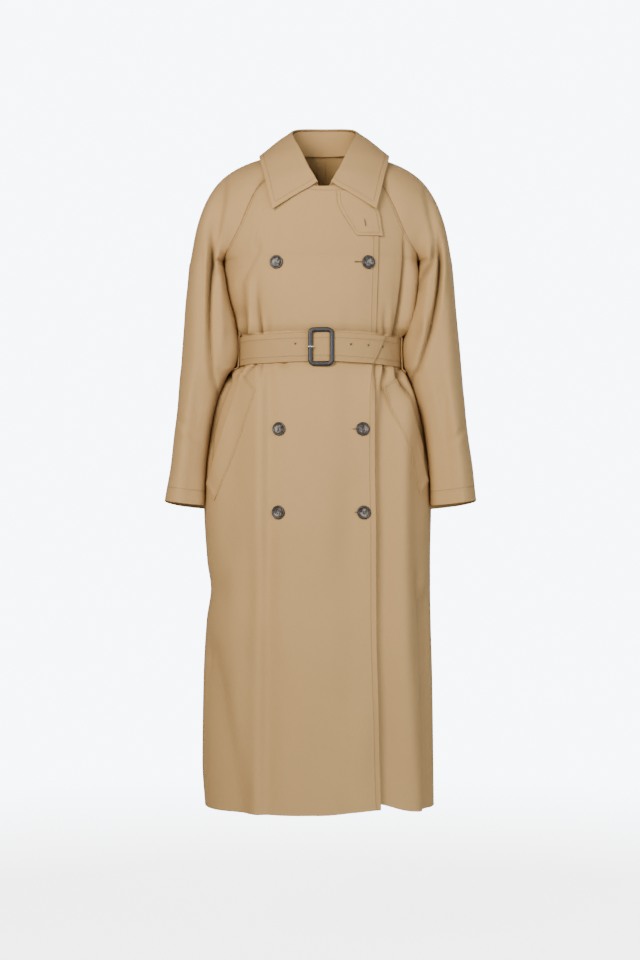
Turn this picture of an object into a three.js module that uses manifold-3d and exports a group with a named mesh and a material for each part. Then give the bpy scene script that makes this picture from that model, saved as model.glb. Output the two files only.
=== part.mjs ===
// A long belted trench coat with raglan sleeves, in the hollow form it has when it is worn.
// Millimetres, +Z up. The front faces -Y and +X is the wearer's left. The origin is where the
// wearer's shoulders meet the base of the neck and carry the coat.
import * as THREE from "three";
import { mergeVertices } from "three/addons/utils/BufferGeometryUtils.js";
import Module from "manifold-3d";

const wasm = await Module();
wasm.setup();

// Driving dimensions
const CLOTH = 2;
const SEAM_GAP = 0.3;
const LAYER_GAP = 1;
const UNDERARM_Z = -203;
const HEM_Z = -1218;
const UNDER_HEM_RISE = 9;
const NECK_FRONT_Z = -72;
const SQUARENESS = 2.3;

const BELT_Z = -370;
const BELT_HEIGHT = 52.6;
const BELT_CLOTH = 2.4;
const BELT_STANDOFF = 1.2;
const BELT_SPLIT_X = -18;
const TAIL_END_X = 103;
const TAIL_END_SLANT = 22;
const BUCKLE_WIDTH = 48;
const BUCKLE_HEIGHT = 71;
const BUCKLE_BAR = 8.4;
const BUCKLE_THICKNESS = 4.6;
const BELT_HOLD = 9;
const BELT_FALL = { centre: 3, right: 5, left: 9, reach: 152, spread: 75 };
const TAIL_LIFT = BELT_CLOTH + 1.2;
const BUCKLE_Z = BELT_Z + 3;
const BUCKLE_CORNER = 10;
const BUCKLE_BEVEL = 0.8;
const BAR = { width: 4, depth: 1.6, gap: 0.3 };
const PRONG = { x: -18.6, radius: 1.5, length: 9 };
const LOOP_ANGLE = 77;
const LOOP_WIDTH = 14;
const LOOP_REACH = 9;

const BUTTON_RADIUS = 12.6;
const BUTTON_THICKNESS = 3.4;
const BUTTON_HOLE_RADIUS = 1.15;
const BUTTON_HOLE_REACH = 2.7;

const COLLAR_CENTRE_X = 6;
const COLLAR_ROLL = 6;
const STAND_SINK = 5;
const NECKLINE_WIDTH = 78;

// How many columns and rows each sheet has
const SIDE_COLUMNS = 10;
const LAP_COLUMNS = 5;
const BACK_COLUMNS = 9;
const YOKE_ROWS = 9;
const SLEEVE_HALF = 9;
const COLLAR_PARTS = 12;
const BELT_PARTS = 60;
const TAIL_PARTS = 16;
const PANEL_HEIGHTS = [
  HEM_Z, -1150, -1080, -1010, -945, -880, -820, -760, -700, -640, -585, -535, -494, -462, -436,
  -418, -405, -397, -341, -335, -324, -302, -276, -246, -220,
];
const SLEEVE_HEIGHTS = [-216, -234, -256, -284, -318, -356, -394, -420, -450, -490, -535, -585, -628, -655];
const CUFF_Z = SLEEVE_HEIGHTS[SLEEVE_HEIGHTS.length - 1];

const columns = (names, rows) => {
  const keys = names.split(" ");
  return rows.map((row) => Object.fromEntries(keys.map((key, place) => [key, row[place]])));
};

// Half widths to the viewer's left and right, and depths to the front and the back, at each height
const TORSO = columns("z left right front back", [
  [-1230, 217, 212, 172, 170],
  [-1137, 223, 211, 168, 167],
  [-987, 221, 209, 162, 160],
  [-874, 215, 206, 159, 155],
  [-814, 207, 205, 157, 152],
  [-761, 214, 205, 155, 150],
  [-649, 220, 207, 151, 145],
  [-585, 217, 204, 149, 141],
  [-531, 211, 197, 146, 136],
  [-494, 205, 190, 142, 131],
  [-469, 199, 183, 138, 127],
  [-440, 189, 174, 131, 121],
  [-415, 176, 164, 122, 112],
  [-404, 166, 157, 116, 105],
  [-398, 154, 151, 112, 99],
  [-341, 153, 150, 112, 98],
  [-335, 156, 154, 116, 101],
  [-325, 160, 162, 121, 104],
  [-305, 164, 171, 125, 108],
  [-280, 172, 176, 128, 112],
  [-252, 179, 181, 129, 116],
  [-232, 181, 183, 127, 118],
  [-203, 182, 182, 122, 118],
]);

// The same above the underarm, where the raglan seams cut the sections before they reach full width
const CHEST = columns("z width depth", [
  [-203, 182, 122],
  [-190, 190, 122.5],
  [-169, 200, 123],
  [-140, 198, 122],
  [-105, 182, 118],
  [-77, 160, 112],
  [-59, 136, 105],
  [-40, 112, 94],
  [-15, 84, 73],
]);
const SHOULDER_BLADES = columns("z width depth", [
  [-203, 182, 118],
  [-192, 190, 118],
  [-170, 213, 117],
  [-130, 211, 114],
  [-70, 177, 102],
  [-22, 124, 84],
  [9, 67, 68],
]);

// Raglan seams and the shoulder ridge between them, from the neckline (0) to the underarm (7), and
// how far forward and back the sleeve reaches midway between
const RAGLAN = columns("step frontX frontZ backX backZ ridgeX ridgeZ foreY aftY", [
  [0, 74, -22, 60, 9, 78, 0, -31, 15],
  [1, 97, -50, 88, -18, 108, -8, -46, 36],
  [2, 118, -75, 110, -54, 138, -18, -56, 48],
  [3, 134, -105, 126, -92, 166, -32, -63, 55],
  [4, 149, -140, 140, -130, 192, -53, -68, 59],
  [5, 164, -169, 155, -160, 214, -86, -74, 62],
  [6, 176, -190, 170, -184, 233, -138, -78, 62],
  [7, 182, -203, 182, -203, 246, -205, -79, 61],
]);
const RAGLAN_STEPS = RAGLAN.length - 1;

// Sleeve below the underarm: its outer side, its inner side and how far behind the arm's line that
// lies, how far forward and back it reaches, and where its outer side is
const SLEEVE = columns("z outerRight outerLeft innerRight innerLeft innerY foreY aftY outerY", [
  [-662, 293, 291, 221, 208, 22, -90, 28, -30],
  [-649, 291, 289, 220.5, 207.5, 22, -90, 28, -30],
  [-590, 281, 283, 218, 204.5, 26, -90, 32, -28],
  [-531, 275, 275, 211.5, 197.5, 28, -88, 37, -24],
  [-494, 270.5, 271, 205, 190.5, 30, -88, 40, -22],
  [-469, 268, 269, 199, 184, 30, -87, 43, -20],
  [-440, 266, 266, 189, 175, 30, -87, 45, -19],
  [-415, 264, 264, 177, 167, 30, -87, 47, -18],
  [-397, 262, 262.5, 163, 159, 30, -87, 49, -17],
  [-366, 260, 260, 158, 157, 30, -87, 51, -16],
  [-325, 257, 256, 162, 164, 30, -87, 53, -15],
  [-280, 254, 252, 173, 177.5, 28, -86, 56, -13],
  [-252, 251, 250, 179.5, 181.5, 26, -85, 58, -11],
  [-216, 248, 247, 184, 184, 14, -81, 60, -7],
  [-205, 247, 246, 183, 183, 0, -79, 61, -3],
]);
const INNER_SLOPE = 0.13;
const CUFF_DROP = { inward: 4.5, behind: 11 };

// The overlapping front edge, as its distance from the centre line
const FRONT_EDGE = columns("z x", [
  [-1215, 108],
  [-1068, 104.5],
  [-882, 100],
  [-757, 99.4],
  [-556, 97.5],
  [-430, 97.5],
  [-340, 99.8],
  [-167, 104.7],
  [-60, 105],
]);

// Folds run along straight lines in the front or back view; a depth below zero is a hollow
const FRONT_FOLDS = columns("x1 z1 x2 z2 width depth", [
  [-108, -404, -114, -1218, 13, 5],
  [-94, -420, -98, -1218, 13, -3.5],
  [-193, -1000, -146, -1218, 22, -9],
  [-150, -440, -178, -760, 20, -3],
  [-112, -402, -117, -436, 6, -4],
  [-130, -402, -140, -440, 6, -4],
  [-108, -337, -115, -250, 8, -6],
  [-122, -337, -129, -258, 8, 4],
  [-136, -333, -149, -276, 7, -5],
  [-123, -210, -145, -256, 9, -3],
  [118, -480, 123, -1218, 13, -6],
  [149, -540, 153, -1218, 17, 7],
  [196, -850, 193, -1218, 11, -7],
  [179, -800, 196, -950, 9, -4],
  [108, -402, 110, -466, 7, 4],
  [136, -404, 147, -446, 7, -5],
  [134, -338, 152, -212, 8, -8],
  [151, -332, 163, -236, 11, 4],
]);
const BACK_FOLDS = columns("x1 z1 x2 z2 width depth", [
  [-62, -404, -70, -1218, 22, 6],
  [-118, -440, -132, -1218, 20, -6],
  [-160, -520, -170, -1218, 16, 5],
  [58, -404, 66, -1218, 20, 6],
  [112, -430, 128, -1218, 20, -6],
  [158, -540, 166, -1218, 16, 5],
  [-46, -337, -52, -240, 11, -5],
  [-88, -336, -98, -250, 10, -5],
  [44, -337, 50, -246, 11, -5],
  [92, -336, 102, -244, 10, -5],
]);
const SLEEVE_FOLDS = {
  right: columns("x1 z1 x2 z2 width depth", [
    [-180, -74, -191, -176, 14, -5],
    [-204, -222, -207, -352, 9, -7],
    [-207, -352, -200, -430, 9, -6],
    [-236, -330, -240, -560, 14, 3],
    [-230, -470, -238, -640, 10, -3],
  ]),
  left: columns("x1 z1 x2 z2 width depth", [
    [197, -77, 217, -206, 12, -5],
    [217, -215, 205, -306, 10, -8],
    [205, -306, 192, -372, 10, -7],
    [238, -300, 244, -520, 14, 3],
    [226, -460, 236, -640, 10, -3],
  ]),
};
const FOLD_FADE = 34;

// Collar halves from the front end (0) to the centre back (6): the fold line and the outer edge
const COLLAR = columns("step foldX foldY foldZ edgeX edgeY edgeZ", [
  [0, 13, -119, -67, 93, -123, -114],
  [1, 21, -111, -52, 101, -110, -83],
  [2, 30, -101, -36, 108, -88, -52],
  [3, 46, -68, 1, 118, -44, -14],
  [4, 60, -16, 34, 117, 12, 0],
  [5, 50, 38, 50, 86, 70, -4],
  [6, 0, 62, 54, 0, 92, -12],
]);
const COLLAR_STEPS = COLLAR.length - 1;

// The neckline by its angle from the front
const NECKLINE = columns("angle y z", [
  [0, -111, -72],
  [30, -103, -60],
  [60, -67, -30],
  [72, -50, -20],
  [90, -14, -1],
  [110, 10, 5],
  [130, 36, 9],
  [150, 56, 9],
  [180, 68, 9],
]);

// The throat latch, lying on the front under the collar's end
const LATCH = columns("z inner outer", [
  [-163, 65, 112],
  [-140, 50, 108],
  [-120, 38, 104],
  [-100, 30, 84],
  [-80, 29, 50],
]);

// Pocket welts: the seam nearer the centre and the free edge towards the side
const WELTS = [
  { name: "right", side: -1, seam: [[116, -447], [196, -648]], free: [[146, -412], [209, -618]] },
  { name: "left", side: 1, seam: [[114, -440], [182, -637]], free: [[138, -420], [196, -612]] },
];

// The buttons' places, and how far off the smooth front their backs lie
const BUTTON_ROWS = [
  { name: "top", z: -212, right: -80.5, left: 85.2, seat: 0.9 },
  { name: "middle", z: -518, right: -76, left: 76, seat: 0.2 },
  { name: "bottom", z: -670, right: -77, left: 78.5, seat: 0.4 },
];

const COLOURS = {
  cloth: 0xc5ab86,
  belt: 0xb79a78,
  horn: 0x33261d,
  leather: 0x3a2c25,
  metal: 0xd8d4cc,
};

const vector = (x, y, z) => new THREE.Vector3(x, y, z);
const mix = THREE.MathUtils.lerp;
const clamp = THREE.MathUtils.clamp;
const between = (count) => Array.from({ length: count + 1 }, (_, place) => place / count);
const radiansOf = THREE.MathUtils.degToRad;
const degreesOf = THREE.MathUtils.radToDeg;
const ease = (from, to, value) => THREE.MathUtils.smoothstep((value - from) / (to - from), 0, 1);

// A smooth curve through one column of a table, with no overshoot between its rows.
function through(table, key, column) {
  const rows = [...table].sort((first, second) => first[key] - second[key]);
  const at = rows.map((row) => row[key]);
  const value = rows.map((row) => row[column]);
  const slope = at.slice(1).map((end, place) => (value[place + 1] - value[place]) / (end - at[place]));
  const lean = at.map((_, place) => {
    const before = slope[Math.max(0, place - 1)];
    const after = slope[Math.min(slope.length - 1, place)];
    return before * after > 0 ? (2 * before * after) / (before + after) : 0;
  });
  return (where) => {
    const here = clamp(where, at[0], at[at.length - 1]);
    const found = at.findIndex((end, place) => place > 0 && here <= end) - 1;
    const place = Math.max(0, found);
    const span = at[place + 1] - at[place];
    const p = (here - at[place]) / span;
    const bend = p * p * (3 - 2 * p);
    const leaving = lean[place] * span * p * (1 - p) * (1 - p);
    const arriving = lean[place + 1] * span * p * p * (1 - p);
    return mix(value[place], value[place + 1], bend) + leaving - arriving;
  };
}

const curves = (table, key) =>
  Object.fromEntries(Object.keys(table[0]).filter((name) => name !== key)
    .map((name) => [name, through(table, key, name)]));

const torso = curves(TORSO, "z");
const chest = curves(CHEST, "z");
const blades = curves(SHOULDER_BLADES, "z");
const raglan = curves(RAGLAN, "step");
const sleeve = curves(SLEEVE, "z");
const frontEdge = through(FRONT_EDGE, "z", "x");
const collar = curves(COLLAR, "step");
const latch = curves(LATCH, "z");
const neckline = curves(NECKLINE, "angle");

// The section that the body has at a height, on one side of the centre and at the front or back.
function section(z, side, back) {
  if (z > UNDERARM_Z) {
    const upper = back ? blades : chest;
    return { width: upper.width(z), depth: upper.depth(z) };
  }
  const width = side < 0 ? torso.left(z) : torso.right(z);
  return { width, depth: back ? torso.back(z) : torso.front(z) };
}

// The belt runs a little lower at the sides, and the cloth that it gathers follows it.
function beltDip(x, z) {
  const reach = clamp(Math.abs(x) / BELT_FALL.reach, 0, 1) ** 2;
  const fall = x < 0 ? BELT_FALL.right : BELT_FALL.left;
  return (BELT_FALL.centre - fall * reach) * Math.exp(-(((z - BELT_Z) / BELT_FALL.spread) ** 2));
}

function foldDepth(folds, x, z) {
  let sum = 0;
  for (const fold of folds) {
    const p = (z - fold.z1) / (fold.z2 - fold.z1);
    const length = Math.abs(fold.z2 - fold.z1);
    const outside = Math.max(0, -p, p - 1) * length;
    const lineX = mix(fold.x1, fold.x2, clamp(p, 0, 1));
    const fade = Math.exp(-((outside / Math.min(FOLD_FADE, 0.4 * length)) ** 2));
    sum += fold.depth * fade * Math.exp(-(((x - lineX) / fold.width) ** 2));
  }
  return sum;
}

// A point of the body's outer face, raised outward by a lift. The folds die out at the seams and
// under the belt.
function bodyPoint(x, height, back, lift = 0) {
  const side = x < 0 ? -1 : 1;
  const { width, depth } = section(height, side, back);
  const across = clamp(Math.abs(x) / width, 0, 1);
  const forward = (1 - across ** SQUARENESS) ** (1 / SQUARENESS);
  const facing = back ? 1 : -1;
  const normal = vector(
    (side * across ** (SQUARENESS - 1)) / width,
    (facing * forward ** (SQUARENESS - 1)) / depth,
    0,
  ).normalize();
  const atSeam = ease(0.999, 0.93, across);
  const atBelt = ease(BELT_HEIGHT / 2, BELT_HEIGHT / 2 + BELT_HOLD, Math.abs(height - BELT_Z));
  const folds = foldDepth(back ? BACK_FOLDS : FRONT_FOLDS, x, height) * atSeam * atBelt;
  const base = vector(side * across * width, facing * depth * forward, height + beltDip(x, height));
  return base.addScaledVector(normal, folds + lift);
}

// The overlapping front lies this far off the body, and so does what lies on it.
const LAP_LIFT = CLOTH + LAYER_GAP;
const onLap = (x) => LAP_LIFT * ease(-150, -112, x);
const topLift = (x, z) => 1.2 * ease(20, 90, x) * ease(-150, -95, z);

// Closes a sheet of quads and triangles into a solid by adding an inner face one thickness away
// and a rim along every open edge. Chosen corners may be given the direction they are moved in.
function thicken(corners, faces, thickness, directions = new Map()) {
  const normals = corners.map(() => vector(0, 0, 0));
  const triangles = faces.flatMap((face) =>
    face.length === 4 ? [[face[0], face[1], face[2]], [face[0], face[2], face[3]]] : [face]);
  const flat = triangles.filter(([a, b, c]) => a !== b && b !== c && a !== c);
  for (const [a, b, c] of flat) {
    const one = corners[b].clone().sub(corners[a]);
    const two = corners[c].clone().sub(corners[a]);
    const normal = one.cross(two);
    for (const corner of [a, b, c]) {
      normals[corner].add(normal);
    }
  }
  directions.forEach((direction, corner) => normals[corner].copy(direction));
  const inner = corners.map((corner, place) =>
    corner.clone().addScaledVector(normals[place].normalize(), -thickness));
  const edges = new Map();
  for (const [a, b, c] of flat) {
    for (const [from, to] of [[a, b], [b, c], [c, a]]) {
      edges.set(`${from}/${to}`, [from, to]);
    }
  }
  const shift = corners.length;
  const solid = [...flat, ...flat.map(([a, b, c]) => [a + shift, c + shift, b + shift])];
  for (const [from, to] of edges.values()) {
    if (!edges.has(`${to}/${from}`)) {
      solid.push([from + shift, to, from], [from + shift, to + shift, to]);
    }
  }
  return { geometry: meshOf([...corners, ...inner], solid), normals };
}

function meshOf(corners, triangles) {
  const geometry = new THREE.BufferGeometry();
  const values = corners.flatMap((corner) => [corner.x, corner.y, corner.z]);
  geometry.setAttribute("position", new THREE.Float32BufferAttribute(values, 3));
  geometry.setIndex(triangles.flat());
  return geometry;
}

// Corners and quads of a grid of rows; flip turns its outer face over.
function gridOf(rows, flip = false) {
  const width = rows[0].length;
  const faces = [];
  for (let row = 0; row + 1 < rows.length; row += 1) {
    for (let place = 0; place + 1 < width; place += 1) {
      const near = row * width + place;
      const quad = [near, near + 1, near + width + 1, near + width];
      faces.push(flip ? quad.reverse() : quad);
    }
  }
  return { corners: rows.flat(), faces };
}

function sheet(rows, thickness, flip = false) {
  const { corners, faces } = gridOf(rows, flip);
  return thicken(corners, faces, thickness).geometry;
}

const toSolid = (geometry) => {
  const plain = geometry.index ? geometry : mergeVertices(geometry);
  plain.deleteAttribute("normal");
  plain.deleteAttribute("uv");
  const merged = mergeVertices(plain);
  return new wasm.Manifold(new wasm.Mesh({
    numProp: 3,
    vertProperties: new Float32Array(merged.attributes.position.array),
    triVerts: new Uint32Array(merged.index.array),
  }));
};

const toGeometry = (solid) => {
  const mesh = solid.getMesh();
  const geometry = new THREE.BufferGeometry();
  geometry.setAttribute("position", new THREE.BufferAttribute(new Float32Array(mesh.vertProperties), 3));
  geometry.setIndex(new THREE.BufferAttribute(new Uint32Array(mesh.triVerts), 1));
  return geometry;
};

const coat = new THREE.Group();

function add(name, geometry, colour, roughness = 0.85, metalness = 0) {
  const material = new THREE.MeshStandardMaterial({ color: colour, roughness, metalness });
  const mesh = new THREE.Mesh(geometry, material);
  mesh.name = name;
  coat.add(mesh);
  return mesh;
}

const YOKE_STEPS = between(YOKE_ROWS).map((part) => RAGLAN_STEPS * (1 - part));

// The front's top edge slopes from the raglan seam to the centre, and lies level past it.
function yokeHeight(step, across) {
  const seamZ = raglan.frontZ(step);
  const slope = (NECK_FRONT_Z - UNDERARM_Z) / (RAGLAN[0].frontZ - UNDERARM_Z);
  const centreZ = UNDERARM_Z + (seamZ - UNDERARM_Z) * slope;
  return mix(centreZ, seamZ, across ** SQUARENESS);
}

// How far out a row's columns are, from the seam to the far edge of the lap. Both fronts have the
// same ones where they cross.
function frontColumns(width, lap) {
  const inner = Math.min(lap, 0.7 * width);
  const turn = Math.acos(inner / width);
  const outside = between(SIDE_COLUMNS).map((part) => width * Math.cos(part * turn));
  const inside = between(LAP_COLUMNS).slice(1).map((part) => inner * (1 - part));
  const across = between(LAP_COLUMNS).slice(1).map((part) => -lap * part);
  return [...outside, ...inside, ...across];
}

// The wearer's right front lies on top, so it stands off where the two fronts cross.
function frontPanel(side) {
  const onTop = side < 0;
  const lapLift = (x, z) => (onTop ? onLap(x) + topLift(x, z) : 0);
  const hemRise = (x, z) => {
    const low = ease(-1100, HEM_Z, z);
    const edge = onTop ? 8 * ease(0, 108, x) : UNDER_HEM_RISE * ease(190, 100, x) + 8 * ease(160, 110, x);
    return low * edge;
  };
  const place = (x, z) => {
    const spot = bodyPoint(x, z, false, lapLift(x, z));
    spot.z += hemRise(x, z);
    return spot;
  };
  const lower = PANEL_HEIGHTS.map((z) =>
    frontColumns(section(z, side, false).width, frontEdge(z)).map((x) => place(side * x, z)));
  const upper = YOKE_STEPS.map((step) => {
    const width = raglan.frontX(step);
    const level = yokeHeight(step, 0);
    return frontColumns(width, frontEdge(level)).map((x) =>
      place(side * x, x > 0 ? yokeHeight(step, x / width) : level));
  });
  return seamedPanel([...lower, ...upper], side, -1, side > 0);
}

function backPanel(side) {
  const backColumns = between(BACK_COLUMNS).map((part) => Math.cos((part * Math.PI) / 2));
  const rowAt = (width, z) => backColumns.map((across) => bodyPoint(side * across * width, z, true));
  const lower = PANEL_HEIGHTS.map((z) => rowAt(section(z, side, true).width, z));
  const upper = YOKE_STEPS.map((step) => rowAt(raglan.backX(step), raglan.backZ(step)));
  const rows = [...lower, ...upper];
  rows.forEach((row) => (row[row.length - 1].x = (side * SEAM_GAP) / 2));
  return seamedPanel(rows, side, 1, side < 0);
}

// A panel's solid, with the face direction at each row of its raglan seam for the sleeve to share.
// The walls on both sides of a straight seam run in one direction, so they stay apart.
function seamedPanel(rows, side, facing, flip) {
  const first = rows.length - YOKE_STEPS.length;
  const width = rows[0].length;
  const directions = new Map();
  rows.forEach((row, place) => {
    if (place <= first) {
      row[0].y += (facing * SEAM_GAP) / 2;
      directions.set(place * width, vector(side, 0, 0));
    }
    if (facing > 0) {
      directions.set(place * width + width - 1, vector(0, 1, 0));
    }
  });
  const { corners, faces } = gridOf(rows, flip);
  const { geometry, normals } = thicken(corners, faces, CLOTH, directions);
  const seam = YOKE_STEPS.map((_, place) => ({
    spot: rows[first + place][0],
    normal: normals[(first + place) * width],
  }));
  return { geometry, seam };
}

function bezier(start, leaving, arriving, end, p) {
  const q = 1 - p;
  return start.clone().multiplyScalar(q * q * q)
    .addScaledVector(leaving, 3 * q * q * p)
    .addScaledVector(arriving, 3 * q * p * p)
    .addScaledVector(end, p * p * p);
}

// One ring of a sleeve: from its front seam or inner side, round the front to the outer ridge, and
// round the back to the back seam or the inner side again.
function sleeveRing(ridge, fore, aft) {
  const parts = between(SLEEVE_HALF);
  const front = parts.map((p) => bezier(fore.start, fore.leaving, fore.arriving, ridge, p));
  const back = parts.map((p) => bezier(aft.start, aft.leaving, aft.arriving, ridge, 1 - p));
  return [...front, ...back.slice(1)];
}

// Where a curve's second handle must be for the curve's middle to lie at a given y
const secondHandleY = (startY, firstY, endY, middleY) => (8 * middleY - startY - 3 * firstY - endY) / 3;
const evenHandleY = (startY, endY, middleY) => (8 * middleY - startY - endY) / 6;

// A ring between the raglan seams. It turns from leaving the seam sideways, near the neck, to
// leaving it forwards and back, at the underarm.
function capRing(side, step, frontSeam, backSeam) {
  const turn = ease(4, RAGLAN_STEPS, step) ** 2;
  const ridge = vector(side * raglan.ridgeX(step), mix(-8, -3, step / RAGLAN_STEPS), raglan.ridgeZ(step));
  const halfRing = (start, middleY) => {
    const away = 0.36 * start.distanceTo(ridge) * (1 - turn);
    const leaving = start.clone().addScaledVector(vector(side * 0.62, 0, 0.78), away);
    leaving.y = mix(start.y, evenHandleY(start.y, ridge.y, middleY), turn);
    const arriving = ridge.clone();
    arriving.y = secondHandleY(start.y, leaving.y, ridge.y, middleY);
    arriving.z -= 6 * (1 - turn);
    return { start, leaving, arriving };
  };
  return sleeveRing(ridge, halfRing(frontSeam, raglan.foreY(step)), halfRing(backSeam, raglan.aftY(step)));
}

// A closed ring below the underarm. Near the cuff it tips inward and its back hangs lower.
function tubeRing(side, z) {
  const name = side < 0 ? "Right" : "Left";
  const outer = vector(side * sleeve[`outer${name}`](z), sleeve.outerY(z), z);
  const inner = vector(side * sleeve[`inner${name}`](z), sleeve.innerY(z), z);
  const slope = INNER_SLOPE * ease(-210, -290, z);
  const halfRing = (middleY) => {
    const handleY = evenHandleY(inner.y, outer.y, middleY);
    const leaving = vector(inner.x - side * slope * (handleY - inner.y), handleY, z);
    const arriving = vector(outer.x, handleY, z);
    return { start: inner, leaving, arriving };
  };
  const ring = sleeveRing(outer, halfRing(sleeve.foreY(z)), halfRing(sleeve.aftY(z)));
  const low = ease(-480, CUFF_Z, z);
  const middle = (outer.x + inner.x) / 2;
  for (const spot of ring) {
    const inward = (side * (middle - spot.x)) / 35;
    const behind = clamp((spot.y - outer.y) / 55, -0.3, 1);
    spot.z -= low * (CUFF_DROP.inward * inward + CUFF_DROP.behind * behind);
  }
  return ring;
}

function foldSleeve(ring, side, fixedEnds) {
  const folds = side < 0 ? SLEEVE_FOLDS.right : SLEEVE_FOLDS.left;
  const middle = ring.reduce((sum, spot) => sum.add(spot), vector(0, 0, 0)).divideScalar(ring.length);
  return ring.map((spot, place) => {
    const outward = spot.clone().sub(middle).setZ(0).normalize();
    const facing = ease(0.05, -0.5, outward.y);
    const atSeam = fixedEnds && (place < 2 || place > ring.length - 3) ? 0 : 1;
    return spot.clone().addScaledVector(outward, foldDepth(folds, spot.x, spot.z) * facing * atSeam);
  });
}

function sleeveSolid(side, frontSeam, backSeam) {
  const offset = vector(side * SEAM_GAP, 0, SEAM_GAP / 3);
  const caps = [...YOKE_STEPS].reverse().map((step, place) => {
    const at = YOKE_STEPS.length - 1 - place;
    const front = frontSeam[at].spot.clone().add(offset);
    const back = backSeam[at].spot.clone().add(offset);
    return foldSleeve(capRing(side, step, front, back), side, true);
  });
  const last = caps[caps.length - 1];
  const joined = last[0].clone().add(last[last.length - 1]).multiplyScalar(0.5);
  last[0].copy(joined);
  last[last.length - 1].copy(joined);
  const tubes = SLEEVE_HEIGHTS.map((z) => foldSleeve(tubeRing(side, z), side, false));
  const rows = [...caps, ...tubes];
  const { corners, faces } = gridOf(rows, side > 0);
  const width = rows[0].length;
  const welded = (corner) => {
    const row = Math.floor(corner / width);
    const closed = row >= caps.length - 1 && corner % width === width - 1;
    return closed ? row * width : corner;
  };
  const directions = new Map();
  const underarm = vector(-side * 0.8, 0, -0.6);
  caps.forEach((_, row) => {
    const at = YOKE_STEPS.length - 1 - row;
    const turn = ease(4.6, RAGLAN_STEPS - 0.4, YOKE_STEPS[at]);
    directions.set(row * width, frontSeam[at].normal.clone().lerp(underarm, turn));
    directions.set(row * width + width - 1, backSeam[at].normal.clone().lerp(underarm, turn));
  });
  const used = faces.map((face) => face.map(welded));
  const { geometry } = thicken(corners, used, CLOTH, directions);
  return mergeVertices(geometry.toNonIndexed());
}

function collarHalf(step, side) {
  const fold = vector(side * collar.foldX(step) + COLLAR_CENTRE_X, collar.foldY(step), collar.foldZ(step));
  const edge = vector(side * collar.edgeX(step) + COLLAR_CENTRE_X, collar.edgeY(step), collar.edgeZ(step));
  const outward = edge.clone().sub(fold).setZ(0).normalize();
  return { fold, edge, outward };
}

const collarStations = [
  ...between(COLLAR_PARTS).map((part) => ({ side: -1, step: COLLAR_STEPS * part })),
  ...between(COLLAR_PARTS).slice(0, -1).reverse().map((part) => ({ side: 1, step: COLLAR_STEPS * part })),
];

// The leaf starts just inside the fold, rolls over it and falls to its outer edge.
function collarLeaf() {
  const rows = collarStations.map(({ side, step }) => {
    const { fold, edge, outward } = collarHalf(step, side);
    const inside = fold.clone().addScaledVector(outward, -1.4).add(vector(0, 0, 1.6));
    const over = fold.clone().addScaledVector(outward, 1.2).add(vector(0, 0, 3));
    const falling = [0.12, 0.32, 0.55, 0.78, 1].map((part) => {
      const spot = fold.clone().lerp(edge, part).addScaledVector(outward, 2);
      const roll = COLLAR_ROLL * Math.sin(Math.PI * part ** 0.7);
      return spot.addScaledVector(outward, roll * 0.6).add(vector(0, 0, roll * 0.8));
    });
    return [inside, over, ...falling];
  });
  return sheet(rows, CLOTH, true);
}

function necklineAt(step, side) {
  const angle = mix(9, 180, step / COLLAR_STEPS);
  const x = side * NECKLINE_WIDTH * Math.sin(radiansOf(angle));
  return vector(x, neckline.y(angle), neckline.z(angle));
}

// The stand is sewn inside the neckline and rises to the fold of the leaf.
function collarStand() {
  const rows = collarStations.map(({ side, step }) => {
    const { fold, outward } = collarHalf(step, side);
    const neck = necklineAt(step, side);
    const centre = vector(0, -20, neck.z);
    const inward = centre.sub(neck).normalize();
    const foot = neck.clone().addScaledVector(inward, CLOTH + 0.8).add(vector(0, 0, -STAND_SINK));
    const back = 10.6 * Math.max(0, 1 - step / 1.9);
    const top = fold.clone().addScaledVector(outward, -1.2).add(vector(0, back, -2.6));
    return [top, top.clone().lerp(foot, 0.5), foot];
  });
  return sheet(rows, CLOTH, true);
}

// The latch follows the overlapping front a little way off it.
function throatLatch() {
  const rows = between(6).map((down) => {
    const z = mix(LATCH[LATCH.length - 1].z, LATCH[0].z, down);
    return between(6).map((part) => {
      const x = mix(latch.inner(z), latch.outer(z), part);
      return bodyPoint(x, z, false, LAP_LIFT + topLift(x, z) + CLOTH + LAYER_GAP);
    });
  });
  return sheet(rows, CLOTH, true);
}

function pocketWelt({ side, seam, free }) {
  const rows = between(10).map((down) => between(4).map((part) => {
    const seamX = mix(seam[0][0], seam[1][0], down);
    const seamZ = mix(seam[0][1], seam[1][1], down);
    const edgeX = mix(free[0][0], free[1][0], down);
    const edgeZ = mix(free[0][1], free[1][1], down);
    const x = side * mix(seamX, edgeX, part);
    const opening = 1.2 * part * Math.sin(Math.PI * down);
    const lift = (side < 0 ? onLap(x) : 0) + CLOTH + 1.4 + 1.5 * (1 - down) ** 2 + opening;
    return bodyPoint(x, mix(seamZ, edgeZ, part), false, lift);
  }));
  return sheet(rows, CLOTH, side > 0);
}

// A point of the belt's outer face at an angle from the front, and a height on it. The belt lies
// on the overlapping front and comes down to the other one past its edge.
function beltPoint(angle, up, lift = 0) {
  const back = Math.abs(angle) > 90;
  const x = section(BELT_Z, angle, back).width * Math.sin(radiansOf(angle));
  const lap = back ? 0 : Math.min(onLap(x), LAP_LIFT * ease(136, 104, x));
  const spot = bodyPoint(x, BELT_Z, back, BELT_STANDOFF + BELT_CLOTH + lap + lift);
  spot.z += up * BELT_HEIGHT;
  return spot;
}

const angleOfX = (x) => degreesOf(Math.asin(x / section(BELT_Z, x, false).width));

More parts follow.
